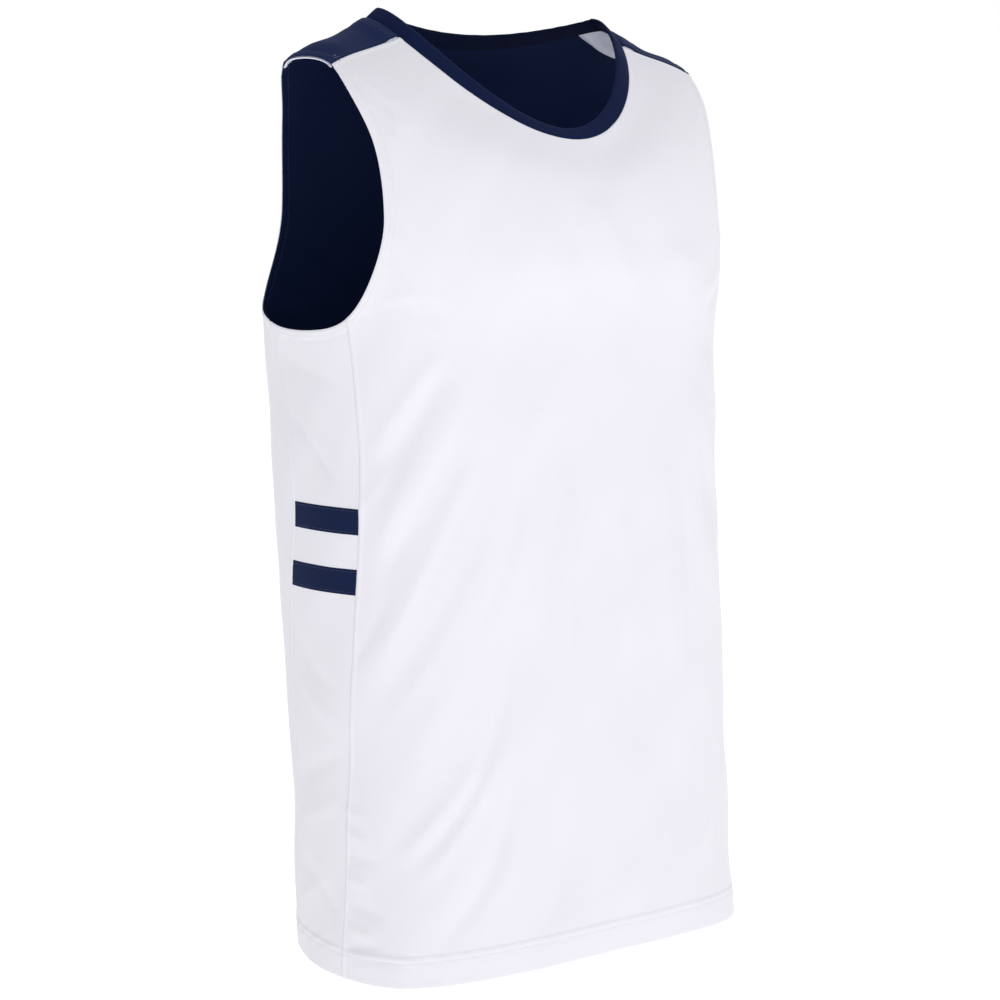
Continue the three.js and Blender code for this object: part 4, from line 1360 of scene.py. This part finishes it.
class JERSEY_OT_back(bpy.types.Operator):
    """Make the back's outer and inner ply"""

    bl_idname = "jersey.back"
    bl_label = "Back"

    def execute(self, context):
        places = body_places("back")
        for ply in PLIES:
            ply_piece("back", ply, places, context)
        return {"FINISHED"}


class JERSEY_OT_side_panels(bpy.types.Operator):
    """Make both side panels, outer and inner"""

    bl_idname = "jersey.side_panels"
    bl_label = "Side panels"

    def execute(self, context):
        for hand, side in HANDS:
            for ply in PLIES:
                ply_piece("side", ply, side_places(side), context, f"_{hand}", side)
        return {"FINISHED"}


class JERSEY_OT_yokes(bpy.types.Operator):
    """Make both shoulder yokes, navy outside and white inside"""

    bl_idname = "jersey.yokes"
    bl_label = "Shoulder yokes"

    def execute(self, context):
        for hand, side in HANDS:
            for ply in PLIES:
                ply_piece("yoke", ply, yoke_places(side), context, f"_{hand}", side)
        return {"FINISHED"}


class JERSEY_OT_neckband(bpy.types.Operator):
    """Make the neckband"""

    bl_idname = "jersey.neckband"
    bl_label = "Neckband"

    def execute(self, context):
        build_neckband(context)
        return {"FINISHED"}


class JERSEY_OT_tapes(bpy.types.Operator):
    """Make the cross tapes on the side panels, with their stitching"""

    bl_idname = "jersey.tapes"
    bl_label = "Cross tapes"

    def execute(self, context):
        for hand, side in HANDS:
            for name in TAPES:
                build_tape(name, hand, side, context)
        return {"FINISHED"}


class JERSEY_OT_hem_sewing(bpy.types.Operator):
    """Sew the twin-needle hem of both plies"""

    bl_idname = "jersey.hem_sewing"
    bl_label = "Hem sewing"

    def execute(self, context):
        _, sewing = sizes_of(context)
        for ply, finish in zip(PLIES, ("white_thread", "navy_thread")):
            runs = [hem_line(height, name, side, ply, context)
                    for height in (sewing.hem_depth, sewing.hem_depth - sewing.needle_gap)
                    for name, side in (("front", 0), ("back", 0), ("side", -1), ("side", 1))]
            stitch_mesh(f"hem_stitches_{ply}", runs, finish, context)
        return {"FINISHED"}


class JERSEY_OT_armhole_sewing(bpy.types.Operator):
    """Topstitch the armholes"""

    bl_idname = "jersey.armhole_sewing"
    bl_label = "Armhole sewing"

    def execute(self, context):
        for hand, side in HANDS:
            for ply, (body, yoke) in zip(PLIES, (("white", "navy"), ("navy", "white"))):
                for colour, parts in ((body, ("front", "side", "back")), (yoke, ("yoke",))):
                    runs = [armhole_line(part, side, ply, context) for part in parts]
                    name = f"armhole_stitches_{ply}_{colour}_{hand}"
                    stitch_mesh(name, runs, f"{colour}_thread", context)
        return {"FINISHED"}


class JERSEY_OT_neck_sewing(bpy.types.Operator):
    """Topstitch the yokes beside the neckband, and tack their front corners at the armholes"""

    bl_idname = "jersey.neck_sewing"
    bl_label = "Neck sewing"

    def execute(self, context):
        _, sewing = sizes_of(context)
        for hand, side in HANDS:
            runs = [neck_line(distance, side, context) for distance in (sewing.neck_near, sewing.neck_far)]
            stitch_mesh(f"neck_stitches_{hand}", runs, "navy_thread", context)
            runs = [tack_line(sewing.armhole_hem + row, side, context) for row in TACK_ROWS]
            stitch_mesh(f"yoke_tack_{hand}", runs, "white_thread", context, TACK_THREAD)
        return {"FINISHED"}


# Studio

def stand(context, name, data, place, aim):
    """A camera or light at a place, turned towards a point."""
    thing = bpy.data.objects.new(name, data)
    context.scene.collection.objects.link(thing)
    thing.location = place
    thing.rotation_euler = (Vector(aim) - Vector(place)).to_track_quat("-Z", "Y").to_euler()
    return thing


def add_camera(context):
    data = bpy.data.cameras.new("camera")
    data.lens = LENS
    data.sensor_width = SENSOR
    data.sensor_fit = "HORIZONTAL"
    data.clip_end = CLIP_END
    place, aim = Vector(CAMERA_PLACE) * MM, Vector(CAMERA_AIM) * MM
    context.scene.camera = stand(context, "camera", data, place, aim)


def add_floor(context):
    stage = context.scene.jersey_stage
    height = CAD_BOX[0].z - stage.floor_drop
    axis = np.linspace(-FLOOR_HALF, FLOOR_HALF, FLOOR_CELLS + 1) / MM
    x, y = np.meshgrid(axis, axis)
    points = np.stack([x, y, np.full(x.shape, height / MM)], axis=-1).reshape(-1, 3)
    faces = grid_faces(FLOOR_CELLS + 1, FLOOR_CELLS + 1, 0, False).tolist()
    floor = write_mesh("studio_floor", points, faces)
    n = Nodes(bpy.data.materials.new("pale_floor"))
    colour = tuple(context.scene.jersey_colours.floor)
    pale = n.blend(n.noise(**FLOOR_GRAIN), times(colour, [FLOOR_SHADE] * 3), colour)
    n.link(pale, n.shader.inputs["Base Color"])
    n.finish(Roughness=FLOOR_ROUGHNESS, Emission_Color=WHITE, Emission_Strength=stage.floor_glow)
    floor.data.materials.append(n.owner)


def add_light(context, name, power):
    place, size, colour = LIGHTS[name]
    data = bpy.data.lights.new(name, "AREA")
    data.shape = "RECTANGLE"
    data.size, data.size_y = size
    data.energy = power
    data.color = colour
    stand(context, name, data, place, LIGHT_AIM)


def add_surround(context):
    """Soft light from all round, weaker from the wearer's right. The camera sees plain white."""
    stage = context.scene.jersey_stage
    n = Nodes(bpy.data.worlds.new("white_surround"))
    light = n.nodes["Background"]
    light.inputs["Color"].default_value = SURROUND_COLOUR
    place = n.add("ShaderNodeTexCoord")
    apart = n.add("ShaderNodeSeparateXYZ")
    n.link(place.outputs["Generated"], apart.inputs[0])
    above = n.add("ShaderNodeMapRange", To_Min=stage.surround, To_Max=stage.overhead)
    n.link(apart.outputs["Z"], above.inputs["Value"])
    beside = n.add("ShaderNodeMapRange", From_Min=SURROUND_TURN[0], From_Max=SURROUND_TURN[1],
                   To_Min=stage.right_share, To_Max=1.0)
    n.link(apart.outputs["X"], beside.inputs["Value"])
    n.link(n.math("MULTIPLY", above.outputs[0], beside.outputs[0]), light.inputs["Strength"])
    seen = n.add("ShaderNodeBackground", Color=WHITE, Strength=1.0)
    path = n.add("ShaderNodeLightPath")
    either = n.add("ShaderNodeMixShader")
    n.link(path.outputs["Is Camera Ray"], either.inputs[0])
    n.link(light.outputs[0], either.inputs[1])
    n.link(seen.outputs[0], either.inputs[2])
    n.link(either.outputs[0], n.nodes["World Output"].inputs["Surface"])
    context.scene.world = n.owner


OPERATORS = (
    JERSEY_OT_stage, JERSEY_OT_front, JERSEY_OT_back, JERSEY_OT_side_panels, JERSEY_OT_yokes,
    JERSEY_OT_neckband, JERSEY_OT_tapes, JERSEY_OT_hem_sewing, JERSEY_OT_armhole_sewing,
    JERSEY_OT_neck_sewing,
)


class JERSEY_PT_panel(bpy.types.Panel):
    """Lists the jersey's pieces and its settings"""

    bl_idname = "JERSEY_PT_panel"
    bl_label = "Jersey"
    bl_space_type = "VIEW_3D"
    bl_region_type = "UI"
    bl_category = "Jersey"

    def draw(self, context):
        layout = self.layout
        for operator in OPERATORS:
            layout.operator(operator.bl_idname)
        for group in (context.scene.jersey_cloth, context.scene.jersey_sewing,
                      context.scene.jersey_colours, context.scene.jersey_stage):
            box = layout.box()
            for name in group.bl_rna.properties.keys():
                if name not in ("rna_type", "name"):
                    box.prop(group, name)


GROUPS = {
    "jersey_cloth": JerseyCloth, "jersey_sewing": JerseySewing,
    "jersey_colours": JerseyColours, "jersey_stage": JerseyStage,
}


def register():
    for cls in (*GROUPS.values(), *OPERATORS, JERSEY_PT_panel):
        bpy.utils.register_class(cls)
    for name, group in GROUPS.items():
        setattr(bpy.types.Scene, name, bpy.props.PointerProperty(type=group))


def unregister():
    for name in GROUPS:
        delattr(bpy.types.Scene, name)
    for cls in reversed((*GROUPS.values(), *OPERATORS, JERSEY_PT_panel)):
        bpy.utils.unregister_class(cls)


def main():
    register()
    bpy.ops.jersey.stage()
    bpy.ops.jersey.front()
    bpy.ops.jersey.back()
    bpy.ops.jersey.side_panels()
    bpy.ops.jersey.yokes()
    bpy.ops.jersey.neckband()
    bpy.ops.jersey.tapes()
    bpy.ops.jersey.hem_sewing()
    bpy.ops.jersey.armhole_sewing()
    bpy.ops.jersey.neck_sewing()


if __name__ == "__main__":
    main()
